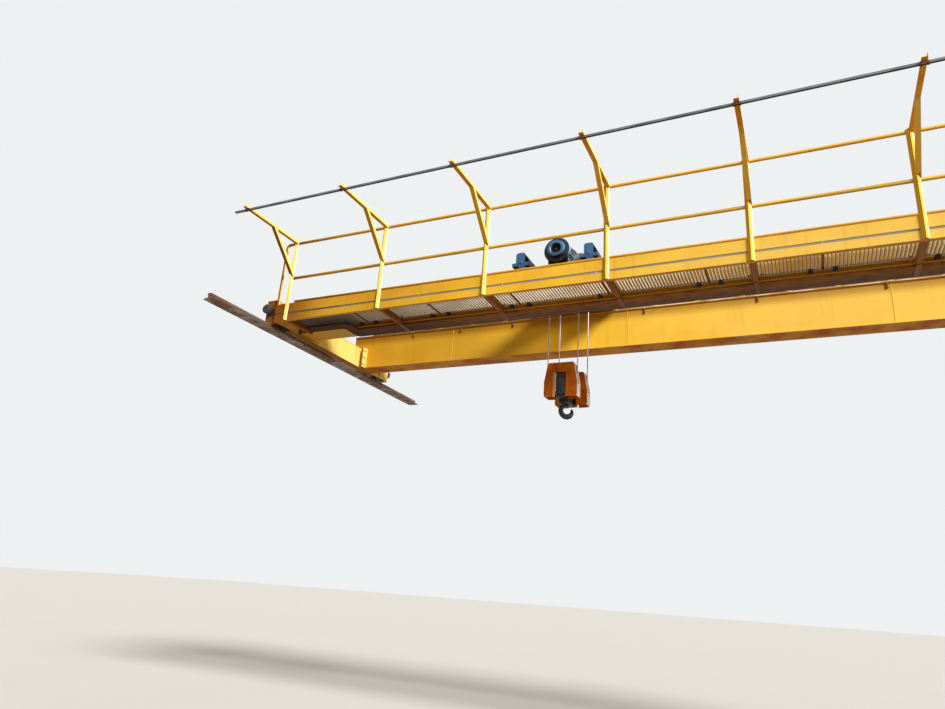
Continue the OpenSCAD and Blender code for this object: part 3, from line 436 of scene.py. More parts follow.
finishes = make_finishes()
slots = {row["node"]: row["material_slot"] for row in frame["record"]["subparts"]}
own_finishes = {
    # Near girder, with painted shade and dirt low on its web and painted shade towards the left end.
    "girder_near": painted_steel("shaded_dirty_near_web", *YELLOW, low_shade_and_dirt=0.36, sunlit_tint=SUN_YELLOW, streaks=0.16,
                                 under_shade_and_grime=0.1, ends=(0.35, 0.6), shine=0.16),
    # Crab's end beams, with painted shade on their sides near the walkway.
    "crab_beam_left": painted_steel("shaded_blue_paint", *BLUE, chips=0.5, gloss=0.36, sunlit_tint=PALE_BLUE, dark_below=0.9,
                                    dark_shade=hood_shade),
    # Paint of the lit rims along the crab's beams: a painted highlight.
    "highlight_rims": painted_steel("highlight_rim_paint", PALE_BLUE, srgb(160, 184, 210), srgb(150, 140, 130), chips=0.2),
    # Hoist motor, with painted shade on its lower half and in the recess behind its air ring.
    "hoist_motor": painted_steel("shaded_motor_paint", *BLUE, chips=0.4, gloss=0.34, sunlit_tint=PALE_BLUE, dark_below=0.9,
                                 sunlit_from=0.45, dark_shade=motor_shade),
    # Far girder: a sunlit copy of the yellow paint, with painted shadow below its flange, a painted sunlit and shaded
    # rim, and painted shade towards the left end.
    "girder_far": painted_steel("sunlit_yellow_web", srgb(255, 206, 66), srgb(244, 188, 46), srgb(140, 94, 46),
                                streaks=0.1, sunlit_tint=SUN_YELLOW, lit_rim_height=0.7005, under_shade_and_grime=1.0, ends=(0.45, 0), shine=0.12),
    # Cross members under the walkway: the yellow paint as a shaded brown copy, a painted shade.
    "cross_members": painted_steel("shaded_member_paint", srgb(164, 104, 34), srgb(134, 80, 24), srgb(130, 84, 34),
                                   chips=0.2, under_shade_and_grime=0.15, shine=0.12),
    "tray_hangers": painted_steel("brown_dirty_paint", srgb(140, 90, 34), srgb(112, 68, 26), srgb(110, 80, 50)),
    "festoon_rail": galvanised_section("festoon_zinc"),
    "walkway_end_plates": painted_steel("brown_plate", srgb(196, 142, 74), srgb(160, 112, 56), srgb(120, 90, 60)),
    "handrail_posts": painted_steel("sunlit_post_paint", *YELLOW, sunlit_tint=srgb(255, 244, 200), sunlit_from=0.45,
                                    sunlit_right=0.018),
    "terminal_box": painted_steel("pale_box_paint", srgb(132, 146, 176), srgb(104, 118, 150), srgb(120, 112, 110),
                                  chips=0.3, sunlit_tint=srgb(200, 204, 216)),
}
own_finishes["crab_beam_right"] = own_finishes["crab_beam_left"]
for name, node in nodes.items():
    node.data.materials.clear()
    node.data.materials.append(own_finishes.get(name) or finishes[slots[name]])


def make_camera():
    """The photograph's place and angle."""
    data = bpy.data.cameras.new("photo_camera")
    data.sensor_width = SENSOR
    data.lens = SENSOR * LENS_PIXELS / PHOTO_WIDTH
    data.clip_end = 400
    right = Vector((0.90289, 0.42449, 0.06787))
    down = Vector((-0.07893, 0.31889, -0.94450))
    forward = Vector((-0.42257, 0.84742, 0.32143))
    turn = Matrix((right, -down, -forward)).transposed().to_4x4()
    camera = bpy.data.objects.new("photo_camera", data)
    camera.matrix_world = Matrix.Translation((7.1586, -9.0423, -3.5072)) @ turn
    bpy.context.scene.collection.objects.link(camera)
    bpy.context.scene.camera = camera


def make_lights():
    """Roof light from the right, a low soft light along the bridge, and a warm dim hall all round."""
    for name, energy, angle, colour, towards in (("roof_light", 4.2, 14, (1.0, 0.975, 0.94), (0.72, -0.50, 0.47)),
                                                 ("low_light", 1.6, 24, (1.0, 0.97, 0.94), (0.96, -0.24, 0.0))):
        sun = bpy.data.lights.new(name, "SUN")
        sun.energy = energy
        sun.angle = math.radians(angle)
        sun.color = colour
        lamp = bpy.data.objects.new(name, sun)
        lamp.rotation_euler = Vector(towards).to_track_quat("Z", "Y").to_euler()
        bpy.context.scene.collection.objects.link(lamp)
    world = bpy.data.worlds.new("studio")
    world.use_nodes = True
    tree = world.node_tree
    tree.nodes.clear()
    light = tree.nodes.new("ShaderNodeBackground")
    light.inputs["Color"].default_value = (1.0, 0.87, 0.66, 1)
    light.inputs["Strength"].default_value = 0.26
    pale = tree.nodes.new("ShaderNodeBackground")
    pale.inputs["Color"].default_value = (0.90, 0.92, 0.93, 1)
    pale.inputs["Strength"].default_value = 0.95
    both = tree.nodes.new("ShaderNodeMixShader")
    tree.links.new(seen_by_eye(tree), both.inputs[0])
    tree.links.new(light.outputs[0], both.inputs[1])
    tree.links.new(pale.outputs[0], both.inputs[2])
    end = tree.nodes.new("ShaderNodeOutputWorld")
    tree.links.new(both.outputs[0], end.inputs[0])
    bpy.context.scene.world = world


def seen_by_eye(tree):
    """1 for what the camera sees, also in a mirror or through glass, and 0 for light that falls on the crane."""
    path = tree.nodes.new("ShaderNodeLightPath")
    socket = path.outputs["Is Camera Ray"]
    for name in ("Is Glossy Ray", "Is Transmission Ray"):
        either = tree.nodes.new("ShaderNodeMath")
        either.operation = "MAXIMUM"
        tree.links.new(socket, either.inputs[0])
        tree.links.new(path.outputs[name], either.inputs[1])
        socket = either.outputs[0]
    return socket


def make_floor():
    """A pale floor that sends little light up to the undersides of the crane."""
    mesh = bpy.data.meshes.new("floor")
    half = 160
    mesh.from_pydata([(-half, -half, FLOOR_Z), (half, -half, FLOOR_Z), (half, half, FLOOR_Z), (-half, half, FLOOR_Z)],
                     [], [(0, 1, 2, 3)])
    floor = bpy.data.objects.new("floor", mesh)
    bpy.context.scene.collection.objects.link(floor)
    f = Finish("pale_floor")
    shade = f.mix(f.noise(0.6, 3.0), (0.86, 0.86, 0.85, 1), (0.82, 0.82, 0.82, 1))
    seen = Wire(f, seen_by_eye(f.tree))
    floor.data.materials.append(f.surface(f.mix(seen, (0.32, 0.25, 0.15, 1), shade), 0.9))


class Piece:
    """A mesh of steel details, made in the crane's own frame."""

    def __init__(self, seed=1):
        self.mesh = bmesh.new()
        self.chance = random.Random(seed)

    def ring(self, centre, across, up, outline):
        return [self.mesh.verts.new(centre + across * a + up * b) for a, b in outline]

    def join(self, first, second):
        count = len(first)
        for i in range(count):
            k = (i + 1) % count
            self.mesh.faces.new((first[i], first[k], second[k], second[i]))

    def skin(self, rings, closed=False):
        for first, second in zip(rings, rings[1:]):
            self.join(first, second)
        if closed:
            self.join(rings[-1], rings[0])
        else:
            self.mesh.faces.new(rings[0][::-1])
            self.mesh.faces.new(rings[-1])

    def plate(self, low, high, edge=0.002):
        """A flat bar between two corners, with its long edges eased."""
        low, high = Vector(low), Vector(high)
        size = high - low
        edge = min(edge, min(size) * 0.3)
        around = [(edge, 0), (size.x - edge, 0), (size.x, edge), (size.x, size.y - edge),
                  (size.x - edge, size.y), (edge, size.y), (0, size.y - edge), (0, edge)]
        inner = [(min(max(a, edge), size.x - edge), min(max(b, edge), size.y - edge)) for a, b in around]
        self.skin([self.ring(low, X, Y, inner), self.ring(low + Z * edge, X, Y, around),
                   self.ring(low + Z * (size.z - edge), X, Y, around), self.ring(low + Z * size.z, X, Y, inner)])

    def prism(self, outline, across, up, along, start, end):
        """A section drawn with two axes, drawn out along a third from start to end."""
        self.skin([self.ring(Vector(along) * start, across, up, outline),
                   self.ring(Vector(along) * end, across, up, outline)])

    def turned(self, centre, axis, profile, sides=16, start=0.0):
        """A round piece on an axis: pairs of a distance along the axis and a radius."""
        axis = Vector(axis).normalized()
        across = axis.orthogonal().normalized()
        up = axis.cross(across)
        angles = [start + math.tau * i / sides for i in range(sides)]
        self.skin([self.ring(Vector(centre) + axis * along, across, up,
                             [(r * math.cos(a), r * math.sin(a)) for a in angles]) for along, r in profile])

    def bolt(self, centre, axis, size=0.020):
        """Hexagon head on a round washer, standing on the face at centre."""
        turn = self.chance.random()
        self.turned(centre, axis, [(0, size * 1.05), (size * 0.16, size * 1.05), (size * 0.2, size)], 14)
        self.turned(centre, axis, [(size * 0.1, size * 0.86), (size * 0.75, size * 0.86), (size * 0.85, size * 0.74)],
                    6, turn)

    def nut(self, centre, axis, size=0.020):
        """Nut on a washer, with the end of the bolt standing out of it."""
        self.bolt(centre, axis, size)
        self.turned(centre, axis, [(0, size * 0.5), (size * 1.15, size * 0.5), (size * 1.25, size * 0.42)], 10)

    def tube(self, points, radius, sides=8, closed=False, uneven=0.0, lobes=0, lay=0.08):
        """A bar along a line of points. Lobes and their lay length make it a laid rope."""
        rings = []
        travelled = 0.0
        count = len(points)
        flat = None
        for i, point in enumerate(points):
            ahead = points[(i + 1) % count] if closed or i + 1 < count else point
            behind = points[i - 1] if closed or i else point
            along = (ahead - behind).normalized()
            if flat is None:
                flat = along.orthogonal().normalized()
            flat = (flat - along * flat.dot(along)).normalized()
            up = along.cross(flat)
            travelled += (point - behind).length
            r = radius * (1 + uneven * (self.chance.random() - 0.5))
            outline = []
            for j in range(sides):
                a = math.tau * j / sides
                reach = r
                if lobes:
                    reach = r * (0.84 + 0.16 * abs(math.cos(lobes * (a - math.tau * travelled / lay) / 2)))
                outline.append((reach * math.cos(a), reach * math.sin(a)))
            rings.append(self.ring(point, flat, up, outline))
        self.skin(rings, closed)

    def weld(self, start, end, radius=0.005, step=0.10):
        """A weld bead from one point to another."""
        start, end = Vector(start), Vector(end)
        steps = max(2, round((end - start).length / step))
        self.tube([start.lerp(end, i / steps) for i in range(steps + 1)], radius, 6, uneven=0.25)

    def done(self, name, body, slot, finish=None, smooth=True):
        mesh = bpy.data.meshes.new(name)
        bmesh.ops.recalc_face_normals(self.mesh, faces=self.mesh.faces)
        self.mesh.to_mesh(mesh)
        self.mesh.free()
        for face in mesh.polygons:
            face.use_smooth = smooth
        if smooth:
            mesh.set_sharp_from_angle(angle=math.radians(38))
        piece = bpy.data.objects.new(name, mesh)
        bpy.context.scene.collection.objects.link(piece)
        mesh.materials.append(finish or finishes[slot])
        if body:
            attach(piece, body)
        return piece


def posts():
    return [WALK_START + BAY * i for i in range(BAYS + 1)]


def make_posts_and_arms():
    """Handrail posts and their outrigger arms of angle section, the corner of each post outwards."""
    leg, thick = 0.050, 0.006
    side, skin = leg / math.sqrt(2), thick * math.sqrt(2)
    post = [(-side, 0), (0, -side), (side, 0), (side - skin, 0), (0, skin - side), (skin - side, 0)]
    p = Piece(20)
    for x in posts():
        p.prism([(x + a, POST_BACK + b) for a, b in post], X, Y, Z, CHANNEL_BOTTOM, TOP_RAIL_Z + TUBE_R)
    paint = own_finishes["handrail_posts"]
    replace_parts(p.done("handrail_post_angles", "bridge", "yellow_paint", paint, smooth=False), "handrail_posts")
    leg, rise = 0.055, 0.0418
    low = TOP_RAIL_Z - TUBE_R
    knee_y, tip_y, foot_y = -2.235, ARM_Y, POST_BACK - 0.046
    head_y = knee_y - leg * 0.4
    foot_z = MID_RAIL_Z + (low - MID_RAIL_Z) * (POST_BACK - foot_y) / (POST_BACK - head_y)
    web = [(POST_BACK, MID_RAIL_Z), (POST_BACK, MID_RAIL_Z + leg * 1.4), (knee_y + leg * 0.8, low + 0.001),
           (head_y, low + 0.001)]
    flange = [(foot_y, foot_z), (foot_y, foot_z + thick * 1.4), (head_y + thick, low + 0.001), (head_y, low + 0.001)]
    p = Piece(21)
    for x in posts():
        near, far = x + side, x + side + thick
        p.plate((near, tip_y, low), (far, POST_BACK, low + rise), 0.001)
        p.plate((far - leg, tip_y, low), (near, POST_BACK - side - 0.004, low + thick), 0.001)
        p.prism(web, Y, Z, X, near, far)
        p.prism(flange, Y, Z, X, far - leg, near)
    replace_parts(p.done("outrigger_arm_angles", "bridge", "yellow_paint", smooth=False), "outrigger_arms")


def make_festoon_rail():
    """C section under the tips of the arms, open below."""
    wide, thick, lip, seat, tail = FESTOON_W, 0.003, 0.0073, 0.0003, 0.212
    top = TOP_RAIL_Z - TUBE_R
    half = wide / 2
    right = [(half, -wide), (half, 0)]
    inner = [(half - thick, -thick), (half - thick, thick - wide), (half - lip, thick - wide), (half - lip, -wide)]
    left = [(-half, 0), (-half, -wide), (lip - half, -wide), (lip - half, thick - wide),
            (thick - half, thick - wide), (thick - half, -thick)]
    outline = [*left, *inner, *right]
    p = Piece(22)
    p.prism([(FESTOON_Y + a, top + b - seat) for a, b in outline], Y, Z, X, WALK_START - tail, posts()[-1] + tail)
    rail = p.done("festoon_rail_section", "bridge", "grey_plate", own_finishes["festoon_rail"], smooth=False)
    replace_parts(rail, "festoon_rail")


def make_grating():
    """Bar grating in panels: bearing bars across the walkway, two edge strips and a tie bar under each panel."""
    p = Piece(23)
    low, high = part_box("walkway_grating")
    panel, first, gap, bar, strip, tie = 1.212, 1.418, 0.006, 0.014, 0.005, 0.008
    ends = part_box("walkway_end_plates")
    edges = [ends[0].x + 0.006] + [first + panel * i for i in range(10)] + [ends[1].x - 0.006]
    for start, end in zip(edges, edges[1:]):
        start, end = start + gap / 2, end - gap / 2
        count = round((end - start - bar) / 0.038)
        for i in range(count + 1):
            x = start + (end - start - bar) * i / count
            p.plate((x, low.y, low.z), (x + bar, high.y, high.z), 0.0012)
        for y in (low.y, high.y - strip):
            p.plate((start + bar / 2, y - 0.0006, low.z), (end - bar / 2, y + strip + 0.0006, high.z - 0.001), 0.0008)
        middle = (low.y + high.y) / 2
        p.plate((start + bar / 2, middle, high.z - tie), (end - bar / 2, middle + tie, high.z - 0.0005), 0.001)
    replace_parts(p.done("walkway_grating_panels", "bridge", "galvanised", smooth=False), "walkway_grating",
                "walkway_end_plates")
    p = Piece(24)
    for joint in edges[1:-1]:
        for dx in (-0.125, 0.125):
            x = joint + dx
            p.plate((x - 0.024, -1.088, 0.150), (x + 0.024, -GAUGE / 2 - GIRDER_W / 2, low.z - 0.0005), 0.002)
            p.plate((x - 0.020, -1.080, 0.128), (x + 0.020, -1.072, 0.152), 0.001)
            p.bolt((x, -1.062, 0.150), -Z, 0.009)
    p.done("grating_brackets", "bridge", "black_steel")
    p = Piece(8)
    for joint in edges[1:-1]:
        p.plate((joint - 0.014, low.y + 0.001, low.z - 0.010), (joint + 0.014, high.y - 0.004, low.z - 0.0005), 0.002)
    p.done("grating_joint_bars", "bridge", "yellow_paint", own_finishes["tray_hangers"])


def make_hoist_motor():
    """Hoist motor: air ring in front of the fan cowl, the cowl's rim, a finned body on two feet, and the dark fan in a
    black sleeve that lines the hole of the air ring, a painted shade.
    """
    p = Piece(25)
    radius, ring, neck, hole = 0.187, 0.124, 0.104, 0.074
    cowl, back, fins = 0.105, 0.340, 24
    p.turned(MOTOR, Y, [(0.075, 0.002), (0.075, hole), (0.008, hole), (0, hole + 0.008), (0, ring - 0.012),
                        (0.004, ring - 0.003), (0.010, ring), (0.026, ring), (0.034, neck), (0.052, neck),
                        (0.060, radius - 0.026), (0.060, radius - 0.006), (0.068, radius), (cowl, radius),
                        (cowl, radius - 0.014), (cowl + 0.012, radius - 0.014), (cowl + 0.012, 0.002)], 56)
    p.turned(MOTOR, Y, [(cowl + 0.001, radius - 0.022), (back, radius - 0.022)], 48)
    for i in range(fins):
        a = math.tau * i / fins
        away = X * math.cos(a) + Z * math.sin(a)
        side = Y.cross(away)
        section = [(0.157, -0.004), (0.181, -0.003), (0.181, 0.003), (0.157, 0.004)]
        p.skin([p.ring(MOTOR + Y * y, away, side, section) for y in (cowl + 0.002, back - 0.030)])
    deck = 0.812
    for dx in (-0.120, 0.120):
        p.plate((MOTOR.x + dx - 0.025, MOTOR.y + 0.125, deck),
                (MOTOR.x + dx + 0.025, MOTOR.y + 0.280, DRUM_Z - radius / 2))
    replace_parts(p.done("hoist_motor_body", "crab", "blue_paint", own_finishes["hoist_motor"]), "hoist_motor")
    p = Piece(26)
    # A thin black sleeve inside the hole of the air ring: painted shade in the hole.
    p.turned(MOTOR, Y, [(0.0738, 0.002), (0.0738, hole - 0.0008), (0.012, hole - 0.0008), (0.012, hole - 0.002),
                        (0.0730, hole - 0.002), (0.0730, 0.002)], 48)
    p.turned(MOTOR + Y * 0.030, Y, [(0, 0.016), (0.006, 0.020), (0.043, 0.022)], 20)
    for i in range(7):
        a = math.tau * i / 7
        away, side = X * math.cos(a) + Z * math.sin(a), X * -math.sin(a) + Z * math.cos(a)
        tilt = (side + Y * 0.8).normalized()
        blade = [(-0.014, -0.0012), (0.014, -0.0012), (0.014, 0.0012), (-0.014, 0.0012)]
        p.skin([p.ring(MOTOR + Y * 0.055 + away * r, tilt, away.cross(tilt), blade) for r in (0.020, 0.064)])
    p.done("motor_fan_and_shade_sleeve", "crab", "black_rubber", finishes["black_rubber"])


def cover_outline(inset):
    """Right half of a sheave cover from its open bottom to the middle of its top, in metres from the axle."""
    wide, high, taper, top, low = 0.235 - inset, 0.2425 - inset, 0.045, 0.028, 0.030
    narrow = wide - taper
    return [(wide - low, -high), (wide - low * 0.3, low * 0.3 - high), (wide, low - high), (wide, -0.058),
            (wide, -0.029), (narrow, high - top), (narrow - top * 0.3, high - top * 0.3), (narrow - top, high)]


def make_sheave_covers():
    """Tapered covers over the sheaves, open below, with slots for the falls and a walled notch in each outer face."""
    thick, deep, slot_half = 0.008, 0.150, 0.020
    notch, notch_top = 0.075, 0.105
    for name, side in (("near", -1), ("far", 1)):
        p = Piece(27 + side)
        middle = BLOCK + Y * side * SHEAVE_GAP / 2
        half = cover_outline(0)
        face = ([(notch, -0.2425)] + half + [(-a, b) for a, b in half[::-1]] + [(-notch, -0.2425), (-notch, notch_top),
                                                                              (notch, notch_top)])
        for start in (-deep / 2, deep / 2 - thick):
            p.skin([p.ring(middle + Y * y, X, Z, face) for y in (start, start + thick)])
        inner = cover_outline(thick)
        for way in (-1, 1):
            for i in range(len(half) - 1):
                corners = [(way * a, b) for a, b in (half[i], half[i + 1], inner[i + 1], inner[i])]
                spans = [(thick - deep / 2, deep / 2 - thick)]
                if i in (3, 4, 5):
                    spans = [(thick - deep / 2, -slot_half), (slot_half, deep / 2 - thick)]
                for start, end in spans:
                    p.skin([p.ring(middle + Y * y, X, Z, corners) for y in (start, end)])
        top = [(-half[-1][0], half[-1][1]), half[-1], inner[-1], (-inner[-1][0], inner[-1][1])]
        p.skin([p.ring(middle + Y * y, X, Z, top) for y in (thick - deep / 2, deep / 2 - thick)])
        for way in (-1, 1):
            x = sorted((way * notch, way * (notch + thick)))
            y = sorted((side * 0.026, side * (deep / 2 - 0.001)))
            p.plate((middle.x + x[0], middle.y + y[0], middle.z - 0.160),
                    (middle.x + x[1], middle.y + y[1], middle.z + notch_top), 0.001)
        shell = p.done(f"sheave_cover_{name}_shell", "hook_block", "orange_paint", smooth=False)
        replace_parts(shell, f"sheave_cover_{name}")


def make_terminal_box():
    """Small terminal box on a short stand at the walkway edge of the deck."""
    p = Piece(29)
    low, high = Vector((4.483, -0.7917, 0.852)), Vector((4.598, -0.6717, 0.962))
    p.plate(low, high, 0.004)
    p.plate((low.x + 0.020, low.y + 0.015, 0.812), (high.x - 0.020, high.y - 0.015, low.z + 0.001), 0.002)
    p.plate((low.x - 0.003, low.y - 0.003, high.z - 0.014), (high.x + 0.003, high.y + 0.003, high.z), 0.002)
    box = p.done("terminal_box_case", "crab", slots["terminal_box"], own_finishes["terminal_box"])
    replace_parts(box, "terminal_box")


def make_girder_welds():
    """Fillets between the webs and flanges of both girders, and the seams where web plates meet."""
    p = Piece(3)
    for middle in (-GAUGE / 2, GAUGE / 2):
        for side in (-1, 1):
            web = middle + side * (GIRDER_W / 2 + 0.001)
            p.weld((GIRDER_START, web, GIRDER_BOTTOM + 0.013), (SPAN - GIRDER_START, web, GIRDER_BOTTOM + 0.013), 0.006)
            p.weld((-0.08, web, GIRDER_TOP - 0.013), (SPAN + 0.08, web, GIRDER_TOP - 0.013), 0.006)
            for seam in (1.89, 4.86, 8.32, 11.4):
                p.weld((seam, web, GIRDER_BOTTOM + 0.012), (seam, web, GIRDER_TOP - 0.012), 0.004, 0.05)
    p.done("girder_welds", "bridge", "yellow_paint")


def make_girder_lugs():
    """Small rusty lugs under the top flanges on the inner webs, left from lifting the girder plates."""
    p = Piece(4)
    top = GIRDER_TOP - 0.014
    for x in (1.12, 2.04, 2.99, 5.12, 6.70, 8.28, 10.2, 12.0):
        for side in (-1, 1):
            web = side * (GAUGE / 2 - GIRDER_W / 2)
            y = sorted((web, web - side * 0.024))
            p.plate((x - 0.009, y[0], top - 0.085), (x + 0.009, y[1], top))
            p.weld((x - 0.010, web - side * 0.002, top - 0.085), (x - 0.010, web - side * 0.002, top), 0.003, 0.02)
    p.done("girder_lugs", "bridge", "yellow_paint", own_finishes["tray_hangers"])


def make_joint_bolts():
    """High-strength bolts that hold the girders to the carriages."""
    p = Piece(5)
    for x, out in ((0.180, X), (SPAN - 0.180, -X)):
        for side in (-1, 1):
            for y in (0.620, 0.680):
                for z in (0.165, 0.290, 0.413):
                    p.nut((x, side * y, z), out, 0.017)
    p.done("joint_bolts", "bridge", "yellow_paint")


def make_rail_clips():
    """Welded clips that hold the crab rails, in pairs along both rails."""
    p = Piece(6)
    count = 22
    for side in (-1, 1):
        rail = side * CRAB_GAUGE / 2
        for i in range(count):
            x = 0.42 + (SPAN - 0.84) * i / (count - 1)
            for near, far in ((-0.052, -0.026), (0.026, 0.080)):
                y = sorted((rail + side * near, rail + side * far))
                p.plate((x - 0.035, y[0], GIRDER_TOP), (x + 0.035, y[1], GIRDER_TOP + 0.016), 0.003)
                p.bolt((x, (y[0] + y[1]) / 2, GIRDER_TOP + 0.016), Z, 0.009)
    p.done("crab_rail_clips", "bridge", "yellow_paint")


def make_walkway_clips():
    """Saddle clips under the grating."""
    p = Piece(7)
    for x in posts():
        for dx in (-0.07, 0.07):
            for y in (-WALK_OUT + 0.06, -WALK_IN - 0.06):
                p.plate((x + dx - 0.022, y - 0.03, CHANNEL_TOP - 0.012),
                        (x + dx + 0.022, y + 0.03, CHANNEL_TOP - 0.002), 0.002)
                p.bolt((x + dx, y, CHANNEL_TOP - 0.012), -Z, 0.009)
    p.done("grating_clips", "bridge", "galvanised")


def make_handrail_welds():
    """Beads where the tubes meet the posts, and at the feet of the posts."""
    p = Piece(9)
    for x in posts():
        for z in (MID_RAIL_Z, TOP_RAIL_Z):
            for side in (-1, 1):
                centre = Vector((x + side * 0.035, POST_BACK + TUBE_R, z))
                p.tube([centre + Y * math.cos(a) * TUBE_R * 1.04 + Z * math.sin(a) * TUBE_R * 1.04
                        for a in [math.tau * i / 14 for i in range(14)]], 0.0035, 5, closed=True, uneven=0.3)
    for x in posts():
        for z in (0.105, 0.175, 0.215, 0.335):
            for side in (-1, 1):
                edge = x + side * 0.036
                p.weld((edge, POST_BACK - 0.001, z - 0.012), (edge, POST_BACK - 0.001, z + 0.012), 0.0035, 0.01)
    p.done("handrail_welds", "bridge", "yellow_paint")


def make_festoon_hangers():
    """Clamp plates and bolts that hold the festoon rail under the arms."""
    p = Piece(10)
    low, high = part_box("festoon_rail")
    low.y, high.y = FESTOON_Y - FESTOON_W / 2, FESTOON_Y + FESTOON_W / 2
    for x in posts():
        for dx in (0.045, -0.01):
            p.plate((x + dx - 0.012, low.y - 0.006, high.z - 0.03), (x + dx + 0.012, low.y, high.z + 0.001), 0.0015)
            p.plate((x + dx - 0.012, high.y, high.z - 0.03), (x + dx + 0.012, high.y + 0.006, high.z + 0.001), 0.0015)
            p.bolt((x + dx, low.y - 0.006, high.z - 0.014), -Y, 0.007)
    p.done("festoon_clamps", "bridge", "grey_plate")


def make_carriage_details():
    """Keeper plates over the axle ends, edge welds, and the bolts of the buffers."""
    p = Piece(11)
    for x in (0, SPAN):
        for face, out in ((x - CARRIAGE_W / 2, -X), (x + CARRIAGE_W / 2, X)):
            for side in (-1, 1):
                if side > 0 and (face < 0 or face > SPAN):
                    continue
                keeper = [(0, 0.062), (0.010, 0.062), (0.013, 0.058), (0.013, 0.040), (0.018, 0.036)]
                p.turned((face, side * AXLE_Y, AXLE_Z), out, keeper, 28)
                for a in (0.8, 2.4, 3.9, 5.5):
                    place = (face + out.x * 0.012, side * AXLE_Y + 0.050 * math.cos(a), AXLE_Z + 0.050 * math.sin(a))
                    p.bolt(place, out, 0.008)
            for z in (0.124, 0.466):
                p.weld((face + out.x * 0.001, -1.59, z), (face + out.x * 0.001, 1.59, z), 0.0045)
            for y in (-0.55, 0.52):
                p.weld((face + out.x * 0.001, y, 0.124), (face + out.x * 0.001, y, 0.466), 0.0035, 0.04)
    for x in (0, SPAN):
        for side in (-1, 1):
            edge = side * (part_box("end_carriage_left")[1].y + 0.012)
            for a in range(4):
                turn = math.tau * (a + 0.5) / 4
                p.bolt((x + 0.0655 * math.cos(turn), edge, 0.295 + 0.0655 * math.sin(turn)), Y * side, 0.006)
    p.done("carriage_details", "bridge", "yellow_paint")


def make_drive_details():
    """Cooling ribs and bolts of the travel drives."""
    p = Piece(12)
    face_x, motor_z = CARRIAGE_W / 2 + 0.0003, 0.3003
    for x, out in ((-face_x, -1), (SPAN + face_x, 1)):
        middle = Vector((x + out * 0.060, AXLE_Y, motor_z))
        for i in range(14):
            a = math.tau * i / 14
            away = X * math.cos(a) + Z * math.sin(a)
            side = Y.cross(away)
            section = [(0.047, -0.002), (0.047, 0.002), (0.057, 0.0012), (0.057, -0.0012)]
            rings = [[middle + Y * y + away * out_by + side * across for out_by, across in section]
                     for y in (0.09, 0.29)]
            p.skin([[p.mesh.verts.new(v) for v in ring] for ring in rings])
        p.turned(middle + Y * 0.3505, Y, [(0, 0.046), (0.003, 0.046), (0.004, 0.03), (0.009, 0.028)], 24)
        for dy in (-0.062, 0.0, 0.062):
            for z in (0.14, 0.33):
                p.bolt((x + out * 0.09, AXLE_Y + dy, z), X * out, 0.008)
    p.done("drive_details", "bridge", "blue_paint")


def make_crab_details():
    """Bolts of the beams, the gearbox, the bearing and the hoist motor's rim, and pale strips along the top edges of
    the beams, a painted highlight.
    """
    p = Piece(13)
    for side in (-1, 1):
        beam = CRAB_X + side * CRAB_BEAM_X
        for end in (-1, 1):
            for dx in (-0.095, 0.095):
                for dy in (-0.06, 0.06):
                    p.bolt((beam + dx, end * GAUGE / 2 + dy, 0.850), Z, 0.011)
            p.turned((beam, end * 0.972, 0.855), Y * end, [(0, 0.030), (0.004, 0.030), (0.006, 0.026)], 18)
    for i in range(8):
        a = math.tau * (i + 0.5) / 8
        p.bolt(MOTOR + X * 0.171 * math.cos(a) + Z * 0.171 * math.sin(a) + Y * 0.060, -Y, 0.006)
    low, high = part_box("hoist_gearbox")
    for x in (low.x + 0.03, (low.x + high.x) / 2, high.x - 0.03):
        for y in (low.y + 0.03, high.y - 0.03):
            p.bolt((x, y, high.z), Z, 0.011)
    p.plate((low.x - 0.008, low.y - 0.0005, DRUM_Z - 0.012), (high.x + 0.008, high.y + 0.008, DRUM_Z + 0.012), 0.003)
    for x in (low.x + 0.06, high.x - 0.06):
        p.turned((x, high.y + 0.004, DRUM_Z + 0.07), Y, [(-0.004, 0.040), (0.008, 0.040), (0.011, 0.036)], 24)
    low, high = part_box("drum_bearing")
    for x in (low.x + 0.03, high.x - 0.03):
        p.bolt((x, (low.y + high.y) / 2, high.z), Z, 0.010)
    p.done("crab_details", "crab", "blue_paint")
    # Pale strips along the top edges of the crab's beams: a painted highlight.
    p = Piece(30)
    inset = 0.035 * (1 - math.sqrt(0.5))
    for side in (-1, 1):
        edge = CRAB_X + side * CRAB_BEAM_X + CRAB_BEAM_W / 2 - inset
        p.weld((edge, -0.9715, 1.0 - inset), (edge, -0.40, 1.0 - inset), 0.006, 0.05)
    p.done("hood_highlight_rims", "crab", "blue_paint", own_finishes["highlight_rims"])


def make_rope_on_drum():
    """Turns of rope that lie in the grooves of the drum, next to the two falls that leave it."""
    p = Piece(14)
    for leaves, way in ((BLOCK.y - SHEAVE_GAP / 2, -1), (BLOCK.y + SHEAVE_GAP / 2, 1)):
        turns = 4.5
        steps = int(turns * 40)
        points = []
        for i in range(steps + 1):
            a = math.tau * turns * i / steps
            points.append(Vector((BLOCK.x + SHEAVE_R * math.cos(a), leaves + way * GROOVE_PITCH * turns * i / steps,
                                  DRUM_Z + SHEAVE_R * math.sin(a))))
        p.tube(points, ROPE_R, 9, lobes=6)
    p.done("rope_on_drum", "crab", "rope_wire")


def make_rope_on_sheaves():
    """Rope round the lower half of each sheave."""
    p = Piece(15)
    for side in (-1, 1):
        p.tube([BLOCK + Y * side * SHEAVE_GAP / 2 + X * SHEAVE_R * math.cos(a) + Z * SHEAVE_R * math.sin(a)
                for a in [math.pi + math.pi * i / 48 for i in range(49)]], ROPE_R, 12, lobes=6)
    p.done("rope_on_sheaves", "hook_block", "rope_wire")


